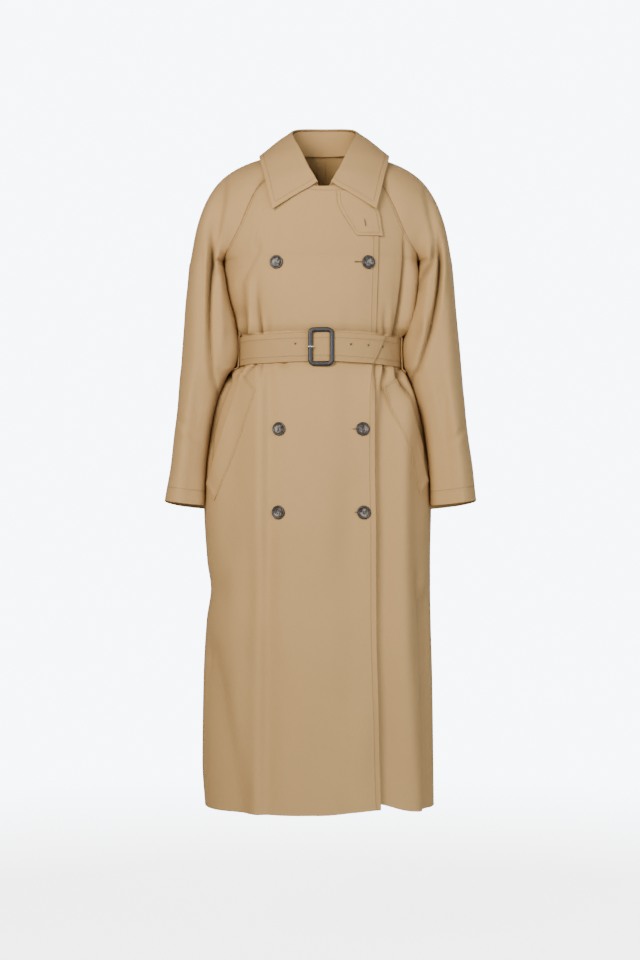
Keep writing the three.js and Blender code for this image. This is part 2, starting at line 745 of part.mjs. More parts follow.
// The band runs from the buckle's bar, under the tail, round the back to the buckle again.
function beltBand() {
  const start = angleOfX(5);
  const end = angleOfX(BELT_SPLIT_X - SEAM_GAP) + 360;
  const rows = between(BELT_PARTS).map((part) => {
    const angle = mix(start, end, part);
    const wrapped = angle > 180 ? angle - 360 : angle;
    return [0.5, -0.5].map((up) => beltPoint(wrapped, up));
  });
  return sheet(rows, BELT_CLOTH);
}

// The tail passes over the buckle's bar and ends in a slant on the wearer's left.
function beltTail() {
  const rows = between(TAIL_PARTS).map((part) => [0.5, -0.5].map((up) => {
    const x = mix(BELT_SPLIT_X, TAIL_END_X + up * TAIL_END_SLANT, part);
    return beltPoint(angleOfX(x), up, TAIL_LIFT * ease(BELT_SPLIT_X, -4, x));
  }));
  return sheet(rows, BELT_CLOTH);
}

const tailFront = beltPoint(0, 0, TAIL_LIFT).y;

function roundedRectangle(width, height, radius) {
  const outline = new THREE.Shape();
  const x = width / 2;
  const y = height / 2;
  outline.moveTo(x - radius, -y);
  outline.absarc(x - radius, radius - y, radius, -Math.PI / 2, 0, false);
  outline.absarc(x - radius, y - radius, radius, 0, Math.PI / 2, false);
  outline.absarc(radius - x, y - radius, radius, Math.PI / 2, Math.PI, false);
  outline.absarc(radius - x, radius - y, radius, Math.PI, 1.5 * Math.PI, false);
  return outline;
}

// A rounded frame with a flat bar behind the tail, joined to it above and below the belt.
function buckle() {
  const windowHeight = BUCKLE_HEIGHT - 2 * BUCKLE_BAR;
  const outline = roundedRectangle(BUCKLE_WIDTH, BUCKLE_HEIGHT, BUCKLE_CORNER);
  outline.holes.push(roundedRectangle(BUCKLE_WIDTH - 2 * BUCKLE_BAR, windowHeight, 0.4 * BUCKLE_CORNER));
  const frame = new THREE.ExtrudeGeometry(outline, {
    depth: BUCKLE_THICKNESS - 2 * BUCKLE_BEVEL,
    bevelThickness: BUCKLE_BEVEL,
    bevelSize: BUCKLE_BEVEL,
    bevelOffset: -BUCKLE_BEVEL,
    bevelSegments: 1,
    curveSegments: 3,
  });
  const seatY = tailFront - SEAM_GAP;
  frame.rotateX(Math.PI / 2);
  frame.translate(0, seatY - BUCKLE_BEVEL, BUCKLE_Z);
  const behindTail = SEAM_GAP + BELT_CLOTH + BAR.gap;
  const bar = barBetween(BAR.width, seatY - 2, seatY + behindTail + BAR.depth, windowHeight + 3);
  const slot = barBetween(BAR.width + 4, seatY - 4, seatY + behindTail, windowHeight);
  return toGeometry(toSolid(frame).add(toSolid(bar).subtract(toSolid(slot))));
}

function barBetween(width, frontY, backY, height) {
  const bar = new THREE.BoxGeometry(width, backY - frontY, height);
  bar.translate(0, (frontY + backY) / 2, BUCKLE_Z);
  return bar;
}

// The prong's tip lies on the frame's side towards the wearer's right.
function buckleProng() {
  const prong = new THREE.CapsuleGeometry(PRONG.radius, PRONG.length, 3, 8);
  const face = tailFront - SEAM_GAP - BUCKLE_THICKNESS;
  prong.rotateZ(Math.PI / 2);
  prong.translate(PRONG.x, face - PRONG.radius - SEAM_GAP, BUCKLE_Z);
  return prong;
}

// A loop sewn to the body above and below the belt, passing outside it.
function beltLoop(side) {
  const overBelt = BELT_STANDOFF + BELT_CLOTH + CLOTH + 0.9;
  const stations = [
    [-1, CLOTH + 4],
    [-0.87, CLOTH + 4],
    [-0.8, overBelt],
    [0, overBelt],
    [0.8, overBelt],
    [0.87, CLOTH + 2],
    [1, CLOTH + 1.2],
  ];
  const reach = BELT_HEIGHT / 2 + LOOP_REACH;
  const swing = degreesOf(LOOP_WIDTH / 2 / section(BELT_Z, side, false).width);
  const rows = stations.map(([up, lift]) => [-swing, swing].map((turn) => {
    const height = BELT_Z + up * reach;
    const x = section(height, side, false).width * Math.sin(radiansOf(side * LOOP_ANGLE + turn));
    return bodyPoint(x, height, false, lift);
  }));
  return sheet(rows, CLOTH, false);
}

// A four-hole button with a raised rim, lying on the front.
function buttonSolid() {
  const rim = BUTTON_RADIUS;
  const profile = [
    [0, 0],
    [rim - 2, 0],
    [rim, 1.4],
    [rim - 0.9, BUTTON_THICKNESS],
    [rim - 3.4, BUTTON_THICKNESS - 1],
    [0, BUTTON_THICKNESS - 1.5],
  ].map(([x, y]) => new THREE.Vector2(x, y));
  let solid = toSolid(new THREE.LatheGeometry(profile, 20));
  for (const quarter of [0, 1, 2, 3]) {
    const angle = (quarter + 0.5) * (Math.PI / 2);
    const hole = new THREE.CylinderGeometry(BUTTON_HOLE_RADIUS, BUTTON_HOLE_RADIUS, 9, 6);
    hole.translate(BUTTON_HOLE_REACH * Math.cos(angle), 0, BUTTON_HOLE_REACH * Math.sin(angle));
    solid = solid.subtract(toSolid(hole));
  }
  return toGeometry(solid);
}

function placeButton(name, x, z, seat) {
  const spot = bodyPoint(x, z, false, LAP_LIFT);
  const aside = bodyPoint(x + 4, z, false, LAP_LIFT);
  const above = bodyPoint(x, z + 4, false, LAP_LIFT);
  const normal = aside.sub(spot).cross(above.sub(spot)).normalize();
  const button = add(name, buttonSolid(), COLOURS.horn, 0.35);
  button.position.copy(spot).addScaledVector(normal, seat);
  button.quaternion.setFromUnitVectors(vector(0, 1, 0), normal);
}

const fronts = { right: frontPanel(-1), left: frontPanel(1) };
const backs = { right: backPanel(-1), left: backPanel(1) };
for (const [name, side] of [["right", -1], ["left", 1]]) {
  add(`front_${name}`, fronts[name].geometry, COLOURS.cloth);
  add(`back_${name}`, backs[name].geometry, COLOURS.cloth);
  add(`sleeve_${name}`, sleeveSolid(side, fronts[name].seam, backs[name].seam), COLOURS.cloth);
  add(`belt_loop_${name}`, beltLoop(side), COLOURS.cloth);
}
add("collar", collarLeaf(), COLOURS.cloth);
add("collar_stand", collarStand(), COLOURS.cloth);
add("throat_latch", throatLatch(), COLOURS.cloth);
for (const welt of WELTS) {
  add(`pocket_welt_${welt.name}`, pocketWelt(welt), COLOURS.cloth);
}
add("belt_band", beltBand(), COLOURS.belt);
add("belt_tail", beltTail(), COLOURS.belt);
add("buckle", buckle(), COLOURS.leather, 0.45);
add("buckle_prong", buckleProng(), COLOURS.metal, 0.3, 1);
for (const row of BUTTON_ROWS) {
  placeButton(`button_${row.name}_right`, row.right, row.z, row.seat);
  placeButton(`button_${row.name}_left`, row.left, row.z, row.seat);
}

export default coat;
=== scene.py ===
"""A long belted trench coat with raglan sleeves, in the hollow form it has when it is worn.

The cloth is worked out in millimetres, with the front facing -Y, +X to the wearer's left and the
origin where the shoulders carry the coat. Meshes are in metres.
"""

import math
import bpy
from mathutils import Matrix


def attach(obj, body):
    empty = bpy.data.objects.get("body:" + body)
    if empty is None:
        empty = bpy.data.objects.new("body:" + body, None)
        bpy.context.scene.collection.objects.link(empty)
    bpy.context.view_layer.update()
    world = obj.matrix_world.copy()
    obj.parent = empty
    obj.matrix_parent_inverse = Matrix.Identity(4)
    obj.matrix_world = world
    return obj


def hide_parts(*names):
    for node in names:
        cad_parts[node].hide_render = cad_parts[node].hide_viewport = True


bl_info = {
    "name": "Belted Trench Coat",
    "version": (1, 0, 0),
    "blender": (4, 5, 0),
    "location": "View3D > Sidebar > Coat",
    "description": "Makes the cloth, sewing, belt, buckle and buttons of a long trench coat",
    "category": "Mesh",
}

import bpy
import numpy as np
from bpy.props import FloatProperty, FloatVectorProperty, PointerProperty

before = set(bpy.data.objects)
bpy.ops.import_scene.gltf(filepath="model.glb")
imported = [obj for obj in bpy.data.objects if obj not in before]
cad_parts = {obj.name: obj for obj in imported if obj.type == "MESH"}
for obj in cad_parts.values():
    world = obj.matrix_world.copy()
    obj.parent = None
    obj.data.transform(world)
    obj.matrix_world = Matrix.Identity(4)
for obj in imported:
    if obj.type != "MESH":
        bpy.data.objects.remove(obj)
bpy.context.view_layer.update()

MM = 0.001
SEAM_GAP = 0.3
LAYER_GAP = 1.0
UNDERARM_Z = -203.0
HEM_Z = -1218.0
UNDER_HEM_RISE = 9.0
NECK_FRONT_Z = -72.0
SQUARENESS = 2.3
CLOTH = 2.0
LAP_LIFT = CLOTH + LAYER_GAP
WELT_CLOTH = 1.2

BELT_Z = -370.0
BELT_HEIGHT = 52.6
BELT_CLOTH = 2.4
BELT_STANDOFF = 1.2
BELT_HOLD = 4.0
BELT_FALL = {"centre": 3.0, "right": 5.0, "left": 9.0, "reach": 152.0, "spread": 75.0}
BELT_SPLIT_X = -18.0
TAIL_END_X = 103.0
TAIL_END_SLANT = 22.0
TAIL_LIFT = BELT_CLOTH + 1.2
BELT_STITCH = 10.0
EYELET_Z = BELT_Z + 6.0
EYELETS = (-46.0, 53.0, 83.0, 110.0)

BUCKLE_Z = BELT_Z + 3.0
BUCKLE_WIDTH = 48.0
BUCKLE_HEIGHT = 71.0
BUCKLE_BAR = 8.4
BUCKLE_THICKNESS = 4.6
PRONG_X = -18.6

LOOP_ANGLE = 77.0
LOOP_WIDTH = 14.0
LOOP_REACH = 9.0

BUTTON_THICKNESS = 3.4
BUTTON_HOLE_REACH = 2.7
BUTTON_ROWS = (
    ("top", -212.0, -80.5, 85.2, 0.9),
    ("middle", -518.0, -76.0, 76.0, 0.2),
    ("bottom", -670.0, -77.0, 78.5, 0.4),
)

COLLAR_CENTRE_X = 6.0
COLLAR_ROLL = 6.0
STAND_SINK = 5.0
NECKLINE_WIDTH = 78.0

CLOTH_MAP = "cloth"
SEWN = "sewn"
# Name of the attribute that carries the painted shade along the bottoms of the deep folds
PAINTED_CREASE_SHADE = "creased"
UNSEWN = 99.0


def mix(start, end, share):
    return start + (end - start) * share


def ease(start, end, value):
    """0 up to start, 1 past end, and a smooth step between them."""
    share = np.clip((value - start) / (end - start), 0.0, 1.0)
    return share * share * (3.0 - 2.0 * share)


def bell(distance, width):
    return np.exp(-((distance / width) ** 2))


def unit(vectors):
    return vectors / np.maximum(np.linalg.norm(vectors, axis=-1, keepdims=True), 1e-9)


def spaced(first, *stretches):
    """Values from the first on, with each stretch's end and its number of even steps."""
    values = [np.array([first])]
    for end, steps in stretches:
        values.append(mix(values[-1][-1], end, np.arange(1, steps + 1) / steps))
    return np.concatenate(values)


class Table:
    """Rows of sizes under named columns. The first column says where a row lies, and the others are
    read between rows along cubics whose slope at a row is the harmonic mean of its two chords'."""

    def __init__(self, names, *rows):
        values = np.array(sorted(rows), float).T
        self.at = values[0]
        self.values = dict(zip(names.split()[1:], values[1:]))

    def read(self, name, where):
        value = self.values[name]
        gap = np.diff(self.at)
        chord = np.diff(value) / gap
        before = np.append(chord[:1], chord)
        after = np.append(chord, chord[-1:])
        same_way = before * after > 0
        lean = np.where(same_way, 2 * before * after / np.where(same_way, before + after, 1), 0)
        here = np.clip(where, self.at[0], self.at[-1])
        row = np.clip(np.searchsorted(self.at, here) - 1, 0, len(gap) - 1)
        share = (here - self.at[row]) / gap[row]
        leaving = lean[row] * gap[row] * share * (1 - share) ** 2
        arriving = lean[row + 1] * gap[row] * share**2 * (1 - share)
        return mix(value[row], value[row + 1], share * share * (3 - 2 * share)) + leaving - arriving


# Half widths to the viewer's left and right, and depths to the front and the back, at each height
TORSO = Table(
    "z left right front back",
    (-1230, 217, 212, 172, 170),
    (-1137, 223, 211, 168, 167),
    (-987, 221, 209, 162, 160),
    (-874, 215, 206, 159, 155),
    (-814, 207, 205, 157, 152),
    (-761, 214, 205, 155, 150),
    (-649, 220, 207, 151, 145),
    (-585, 217, 204, 149, 141),
    (-531, 211, 197, 146, 136),
    (-494, 205, 190, 142, 131),
    (-469, 199, 183, 138, 127),
    (-440, 189, 174, 131, 121),
    (-415, 176, 164, 122, 112),
    (-404, 166, 157, 116, 105),
    (-398, 154, 151, 112, 99),
    (-341, 153, 150, 112, 98),
    (-335, 156, 154, 116, 101),
    (-325, 160, 162, 121, 104),
    (-305, 164, 171, 125, 108),
    (-280, 172, 176, 128, 112),
    (-252, 179, 181, 129, 116),
    (-232, 181, 183, 127, 118),
    (-203, 182, 182, 122, 118),
)

# The same above the underarm
CHEST = Table(
    "z width depth",
    (-203, 182, 122),
    (-190, 190, 122.5),
    (-169, 200, 123),
    (-140, 198, 122),
    (-105, 182, 118),
    (-77, 160, 112),
    (-59, 136, 105),
    (-40, 112, 94),
    (-15, 84, 73),
)
SHOULDER_BLADES = Table(
    "z width depth",
    (-203, 182, 118),
    (-192, 190, 118),
    (-170, 213, 117),
    (-130, 211, 114),
    (-70, 177, 102),
    (-22, 124, 84),
    (9, 67, 68),
)

# Raglan seams and the shoulder ridge, from the neckline (0) to the underarm (7), and how far
# forward and back the sleeve reaches midway between
RAGLAN = Table(
    "step frontX frontZ backX backZ ridgeX ridgeZ foreY aftY",
    (0, 74, -22, 60, 9, 78, 0, -31, 15),
    (1, 97, -50, 88, -18, 108, -8, -46, 36),
    (2, 118, -75, 110, -54, 138, -18, -56, 48),
    (3, 134, -105, 126, -92, 166, -32, -63, 55),
    (4, 149, -140, 140, -130, 192, -53, -68, 59),
    (5, 164, -169, 155, -160, 214, -86, -74, 62),
    (6, 176, -190, 170, -184, 233, -138, -78, 62),
    (7, 182, -203, 182, -203, 246, -205, -79, 61),
)
RAGLAN_STEPS = 7

# Sleeve below the underarm: its outer and inner sides, and how far forward and back it reaches
SLEEVE = Table(
    "z outerRight outerLeft innerRight innerLeft innerY foreY aftY outerY",
    (-662, 293, 291, 221, 208, 22, -90, 28, -30),
    (-649, 291, 289, 220.5, 207.5, 22, -90, 28, -30),
    (-590, 281, 283, 218, 204.5, 26, -90, 32, -28),
    (-531, 275, 275, 211.5, 197.5, 28, -88, 37, -24),
    (-494, 270.5, 271, 205, 190.5, 30, -88, 40, -22),
    (-469, 268, 269, 199, 184, 30, -87, 43, -20),
    (-440, 266, 266, 189, 175, 30, -87, 45, -19),
    (-415, 264, 264, 177, 167, 30, -87, 47, -18),
    (-397, 262, 262.5, 163, 159, 30, -87, 49, -17),
    (-366, 260, 260, 158, 157, 30, -87, 51, -16),
    (-325, 257, 256, 162, 164, 30, -87, 53, -15),
    (-280, 254, 252, 173, 177.5, 28, -86, 56, -13),
    (-252, 251, 250, 179.5, 181.5, 26, -85, 58, -11),
    (-216, 248, 247, 184, 184, 14, -81, 60, -7),
    (-205, 247, 246, 183, 183, 0, -79, 61, -3),
)
INNER_SLOPE = 0.03
INNER_FLATNESS = 0.3
SLEEVE_DRAW = 5.0
BELT_ROOM = 5.5
CUFF_Z = -655.0
CUFF_DROP = {"inward": 4.5, "behind": 6.0}
CUFF_STITCH = 26.0

# The overlapping front edge, as its distance from the centre line
FRONT_EDGE = Table(
    "z x",
    (-1215, 108),
    (-1068, 104.5),
    (-882, 100),
    (-757, 99.4),
    (-556, 97.5),
    (-430, 97.5),
    (-340, 99.8),
    (-167, 104.7),
    (-60, 105),
)
EDGE_STITCH = 9.5
TOP_STITCH = 8.0
RAGLAN_STITCH = 5.0

# Collar halves from the front end (0) to the centre back (6): the fold line and the outer edge
COLLAR = Table(
    "step foldX foldY foldZ edgeX edgeY edgeZ",
    (0, 13, -119, -67, 93, -123, -114),
    (1, 21, -111, -52, 101, -110, -83),
    (2, 30, -101, -36, 108, -88, -52),
    (3, 46, -68, 1, 118, -44, -14),
    (4, 60, -16, 34, 117, 12, 0),
    (5, 50, 38, 50, 86, 70, -4),
    (6, 0, 62, 54, 0, 92, -12),
)
COLLAR_STEPS = 6
COLLAR_STITCH = 8.5

# The neckline by its angle from the front
NECKLINE = Table(
    "angle y z",
    (0, -111, -72),
    (30, -103, -60),
    (60, -67, -30),
    (72, -50, -20),
    (90, -14, -1),
    (110, 10, 5),
    (130, 36, 9),
    (150, 56, 9),
    (180, 68, 9),
)

# The throat latch's sides
LATCH = Table(
    "z inner outer",
    (-163, 65, 112),
    (-140, 50, 108),
    (-120, 38, 104),
    (-100, 30, 84),
    (-80, 29, 50),
)

# Pocket welts: the seam nearer the centre and the free edge towards the side, as x and z at the
# top and at the foot
WELTS = (
    ("right", -1, ((116, -447), (196, -648)), ((146, -412), (209, -618))),
    ("left", 1, ((114, -440), (182, -637)), ((138, -420), (196, -612))),
)

# Folds lie along bowed lines in the front or back view. A depth below zero is a hollow, lean makes
# a fold wider towards +X, spread widens it towards its second end and left is the depth left there.
FOLD_COLUMNS = "x1 z1 x2 z2 width depth bow lean spread left".split()
FRONT_FOLDS = (
    (-108, -402, -114, -1218, 12, 5.0, 2, -0.3, 1.1, 0.9),
    (-94, -420, -98, -1218, 13, -3.5, 0, 0.2, 1.1, 0.8),
    (-203, -940, -156, -1218, 23, -6, 6, -0.2, 1.3, 0.9),
    (-150, -440, -178, -760, 20, -3, 0, 0, 1.3, 0.5),
    (-172, -430, -204, -536, 4, -12, -4, -0.3, 1.2, 0.5),
    (-117, -396, -142, -416, 5, -9, 0, 0, 1.2, 0.2),
    (-126, -397, -150, -418, 4, 5, 0, 0, 1.2, 0.2),
    (-146, -398, -158, -416, 4, -4.5, 0, 0, 1.2, 0.3),
    (-107, -400, -108, -428, 3.5, -5, 0, 0, 1.3, 0.2),
    (-70, -397, -68, -408, 5, -4, 0, 0, 1.4, 0.2),
    (-112, -339, -118, -262, 4.5, -8, -2, 0.2, 1.6, 0.3),
    (-125, -338, -131, -268, 6, 6, 0, -0.3, 1.4, 0.4),
    (-141, -337, -146, -286, 9, -8, 0, -0.4, 1.1, 0.3),
    (-152, -337, -154, -318, 5, 6, 0, 0, 1.2, 0.4),
    (-117, -192, -150, -248, 7, -2.4, 0, 0, 1.1, 0.8),
    (150, -470, 171, -1218, 17, 9, -12, 0.1, 1.3, 1.0),
    (128, -480, 124, -1218, 12, -1.5, 0, 0, 1.2, 1.0),
    (196, -850, 193, -1218, 11, -7, 0, 0, 1.2, 1.0),
    (179, -800, 196, -950, 9, -4, 0, 0, 1.2, 0.8),
    (146, -420, 197, -549, 4, -7, 4, 0, 1.1, 0.6),
    (134, -339, 153, -204, 4.4, -12, 3, 0.5, 1.0, 0.45),
    (147, -336, 163, -222, 7, 4, 3, 0, 1.2, 0.5),
    (157, -330, 169, -236, 11, 8, 0, 0.1, 1.1, 0.7),
    (123, -338, 128, -300, 5, 3, 0, 0, 1.2, 0.4),
    (-122, -160, -141, -322, 16, -1.2, -5, 0, 1.0, 0.9),
    (-97, -338, -100, -304, 4.5, -4, 0, 0, 1.4, 0.2),
    (110, -338, 108, -306, 5, 2, 0, 0, 1.4, 0.2),
    (118, -338, 119, -300, 4, -4, 0, 0, 1.5, 0.2),
    (-60, -338, -62, -286, 9, -1.6, 0, 0, 1.5, 0.2),
    (46, -338, 50, -290, 10, -1.6, 0, 0, 1.5, 0.2),
    (-86, -400, -84, -470, 7, 2.6, 0, 0, 1.6, 0.2),
    (-66, -400, -64, -440, 6, -2, 0, 0, 1.6, 0.1),
    (89, -400, 90, -470, 5, 3.4, 0, 0.1, 1.4, 0.2),
    (99.5, -400, 101, -450, 3.5, -3.4, 0, 0, 1.6, 0.2),
    (107, -400, 110, -470, 4.5, 6, 0, 0, 1.4, 0.3),
    (116, -396, 119, -420, 3.4, -9, 0, 0, 1.8, 0.2),
    (128, -397, 136, -438, 5, 5, 0, 0, 1.5, 0.2),
    (137, -397, 149, -440, 4, -7, 0, 0, 1.6, 0.3),
    (147, -400, 162, -446, 5, 5, 0, 0, 1.5, 0.3),
    (-50, -700, -62, -1218, 38, 2.2, 8, 0, 1.0, 1.0),
    (56, -430, 62, -1000, 25, -4.2, 0, 0, 1.2, 0.5),
    (46, -640, 40, -1218, 30, -2.6, 10, 0, 1.1, 1.0),
    (66, -860, 74, -1218, 22, 2, 0, 0, 1.0, 1.0),
    (-160, -780, -148, -1120, 26, 3, 8, 0, 1.1, 0.6),
    (-138, -440, -132, -700, 22, 2.4, 0, 0, 1.2, 0.5),
)
# Hollows of the left front alone, which falls back behind the edge of the one on top
UNDER_FOLDS = (
    (111, -430, 116, -1218, 12, -6.5, 0, 0.3, 1.7, 1.0),
)
BACK_FOLDS = (
    (-62, -404, -70, -1218, 20, 6, 3, 0.2, 1.1, 0.9),
    (-118, -440, -132, -1218, 19, -6, -3, 0, 1.1, 0.9),
    (-160, -520, -170, -1218, 15, 5, 0, 0, 1.1, 0.9),
    (58, -404, 66, -1218, 19, 6, -3, -0.2, 1.1, 0.9),
    (112, -430, 128, -1218, 19, -6, 2, 0, 1.1, 0.9),
    (158, -540, 166, -1218, 15, 5, 0, 0, 1.1, 0.9),
    (-46, -337, -52, -240, 10, -5, 0, 0.2, 1.3, 0.3),
    (-88, -336, -98, -250, 9, -5, 0, 0, 1.3, 0.3),
    (44, -337, 50, -246, 10, -5, 0, 0, 1.3, 0.3),
    (92, -336, 102, -244, 9, -5, 0, 0.1, 1.3, 0.3),
    (-30, -402, -34, -520, 8, -3, 0, 0, 1.5, 0.2),
    (-92, -402, -98, -480, 7, -3.5, 0, 0, 1.5, 0.2),
    (-78, -402, -84, -460, 6, 3, 0, 0, 1.5, 0.2),
    (-124, -402, -138, -470, 7, 3, 0, 0, 1.5, 0.2),
    (32, -402, 36, -500, 8, -3, 0, 0, 1.5, 0.2),
    (88, -402, 96, -490, 7, -3.5, 0, 0, 1.5, 0.2),
    (76, -402, 80, -455, 6, 3, 0, 0, 1.5, 0.2),
    (122, -402, 136, -470, 7, 3, 0, 0, 1.5, 0.2),
    (-66, -337, -72, -280, 7, 3, 0, 0, 1.4, 0.2),
    (-118, -336, -130, -276, 7, 3, 0, 0, 1.4, 0.2),
    (-24, -337, -28, -290, 7, 2.4, 0, 0, 1.4, 0.2),
    (22, -337, 24, -288, 7, 2.4, 0, 0, 1.4, 0.2),
    (68, -337, 74, -276, 7, 3, 0, 0, 1.4, 0.2),
    (118, -336, 132, -280, 7, 3, 0, 0, 1.4, 0.2),
    (-100, -160, -70, -250, 20, -2.4, 6, 0, 1.0, 0.7),
    (98, -166, 72, -256, 20, -2.4, -6, 0, 1.0, 0.7),
)
SLEEVE_FRONT_FOLDS = {
    -1: (
        (-180, -70, -196, -170, 13, -7, 2, -0.5, 1.0, 0.9),
        (-201, -206, -197, -452, 4.2, -13, -6.5, -0.2, 1.1, 0.4),
        (-191, -222, -182, -330, 6, 5, 0, 0, 1.1, 0.8),
        (-236, -330, -240, -560, 14, 3, 0, 0, 1.1, 0.8),
        (-230, -470, -238, -640, 10, -3, 0, 0, 1.2, 0.7),
        (-213, -214, -215, -360, 5, 3, 0, 0, 1.2, 0.6),
        (-252, -250, -250, -420, 10, -2, 0, 0, 1.2, 0.5),
        (-222, -560, -226, -650, 8, -2, 0, 0, 1.2, 0.8),
        (-254, -520, -262, -650, 10, 2, 0, 0, 1.2, 0.8),
        (-262, -500, -236, -524, 9, -2.2, 0, 0, 1.2, 0.6),
        (-266, -516, -240, -542, 8, 1.8, 0, 0, 1.2, 0.6),
    ),
    1: (
        (196, -74, 215, -176, 11, -6, -2, 0.3, 1.0, 1.0),
        (219, -212, 174, -420, 4.4, -13, 9, 0.2, 1.1, 0.45),
        (208, -198, 187, -248, 7, -7, 0, 0, 1.2, 0.6),
        (200, -230, 190, -330, 7, 5, 0, 0, 1.1, 0.8),
        (190, -330, 172, -392, 9, 6, 0, 0, 1.1, 0.6),
        (238, -300, 244, -520, 14, 3, 0, 0, 1.1, 0.8),
        (226, -460, 236, -640, 10, -3, 0, 0, 1.2, 0.7),
        (229, -222, 220, -310, 6, 3, 0, 0, 1.3, 0.5),
        (250, -240, 250, -420, 10, -2, 0, 0, 1.2, 0.5),
        (218, -560, 222, -650, 8, -2, 0, 0, 1.2, 0.8),
        (256, -520, 264, -650, 10, 2, 0, 0, 1.2, 0.8),
        (265, -514, 245, -540, 7, -3, 0, 0, 1.2, 0.4),
        (271, -524, 250, -550, 7, 2.4, 0, 0, 1.2, 0.4),
    ),
}
SLEEVE_BACK_FOLDS = (
    (200, -150, 214, -260, 13, -5, 0, 0, 1.1, 0.8),
    (227, -360, 225, -520, 10, -1.6, 0, 0, 1.2, 0.7),
    (236, -420, 236, -570, 11, -4, 0, 0, 1.2, 0.7),
    (245, -480, 247, -620, 12, -1.6, 0, 0, 1.2, 0.7),
)
FOLD_FADE = 34.0
FOLD_SCALE = 1.5
# Painted shade lies along a fold's bottom where the fold is at least this deep and at most this wide, and is full at
# this depth
CREASE_DEPTH = -5.0
CREASE_WIDTH = 9.0
CREASE_FULL = 12.0


def section(z, side, back):
    """Half width and depth of the body at a height, on one side, at the front or the back."""
    low_width = np.where(side < 0, TORSO.read("left", z), TORSO.read("right", z))
    low_depth = np.where(back, TORSO.read("back", z), TORSO.read("front", z))
    high_width = np.where(back, SHOULDER_BLADES.read("width", z), CHEST.read("width", z))
    high_depth = np.where(back, SHOULDER_BLADES.read("depth", z), CHEST.read("depth", z))
    high = z > UNDERARM_Z
    return np.where(high, high_width, low_width), np.where(high, high_depth, low_depth)


def belt_dip(x, z):
    """The belt runs a little lower at the sides, and the cloth that it gathers follows it."""
    reach = np.clip(np.abs(x) / BELT_FALL["reach"], 0, 1) ** 2
    fall = np.where(x < 0, BELT_FALL["right"], BELT_FALL["left"])
    return (BELT_FALL["centre"] - fall * reach) * bell(z - BELT_Z, BELT_FALL["spread"])


def fold_depth(folds, x, z):
    """The sum of the folds: a bell across each bowed line, that fades past the line's two ends."""
    total = np.zeros(np.broadcast(x, z).shape)
    for row in folds:
        fold = dict(zip(FOLD_COLUMNS, row))
        share = (z - fold["z1"]) / (fold["z2"] - fold["z1"])
        length = abs(fold["z2"] - fold["z1"])
        outside = np.maximum(0, np.maximum(-share, share - 1)) * length
        inside = np.clip(share, 0, 1)
        line = mix(fold["x1"], fold["x2"], inside) + 4 * fold["bow"] * inside * (1 - inside)
        off = x - line
        width = fold["width"] * mix(1, fold["spread"], inside) * (1 + np.sign(off) * fold["lean"])
        depth = fold["depth"] * mix(1, fold["left"], inside)
        total += depth * bell(outside, min(FOLD_FADE, 0.4 * length)) * bell(off, width)
    return total


def crease_shade(folds, x, z):
    """How much painted shade darkens the cloth along the bottoms of the narrow deep folds, from 0 to 1."""
    deep = [row for row in folds if row[5] <= CREASE_DEPTH and row[4] <= CREASE_WIDTH]
    lines = [(*row[:4], 0.7 * row[4], row[5] / -CREASE_FULL, *row[6:]) for row in deep]
    return np.clip(fold_depth(lines, x, z), 0, 1)


def drape(x, z, seed, size):
    """Broad uneven waves, mostly upright: a sum of sines whose slants and lengths are drawn."""
    draw = np.random.default_rng(seed)
    total = np.zeros(np.broadcast(x, z).shape)
    for _ in range(9):
        length = draw.uniform(46, 150)
        slant = draw.normal(0, 0.28)
        phase = draw.uniform(0, 2 * math.pi)
        total += np.sin(2 * math.pi * (x * math.cos(slant) + z * math.sin(slant)) / length + phase) * length / 100
    return total * size / 3


def reach_at(x, z, side, back):
    """How far forward or back the body's section reaches at a place, and its share of the width."""
    width, depth = section(z, side, back)
    across = np.clip(np.abs(x) / width, 0, 1)
    return across, width, depth, depth * (1 - across**SQUARENESS) ** (1 / SQUARENESS)


def body_point(x, z, back, lift=0.0, plain=False):
    """A point of the body's outer face: a superellipse section at each height, moved out along its
    normal by the folds and a lift. The folds die out at the seams and under the belt. The change of
    section at the underarm is averaged over heights away from the seams."""
    side = np.where(x < 0, -1.0, 1.0)
    across, width, depth, reach = reach_at(x, z, side, back)
    forward = reach / depth
    facing = np.where(back, 1.0, -1.0)
    even = np.mean([reach_at(x, z + shift, side, back)[3] for shift in (-28, -14, 0, 14, 28)], axis=0)
    reach = mix(reach, even, bell(z - UNDERARM_Z, 42) * ease(0.97, 0.8, across))
    slope = (side * across ** (SQUARENESS - 1) / width, facing * forward ** (SQUARENESS - 1) / depth)
    normal = unit(np.stack([*np.broadcast_arrays(*slope, 0.0)], axis=-1))
    raised = lift
    if not plain:
        held = ease(0.999, 0.955, across)
        held = held * ease(BELT_HEIGHT / 2, BELT_HEIGHT / 2 + BELT_HOLD, np.abs(z - BELT_Z))
        folds = BACK_FOLDS if back else FRONT_FOLDS
        loose = mix(0.35, 1, ease(-60, -330, z))
        raised = lift + held * (FOLD_SCALE * fold_depth(folds, x, z) + drape(x, z, 7 + back, 0.9) * loose)
    spot = (side * across * width, facing * reach, z + belt_dip(x, z))
    return np.stack([*np.broadcast_arrays(*spot)], axis=-1) + normal * np.asarray(raised)[..., None]


def on_lap(x):
    """The wearer's right front stands off where the two fronts cross."""
    return LAP_LIFT * ease(-150, -112, x)


def top_lift(x, z):
    return 1.2 * ease(20, 90, x) * ease(-150, -95, z)


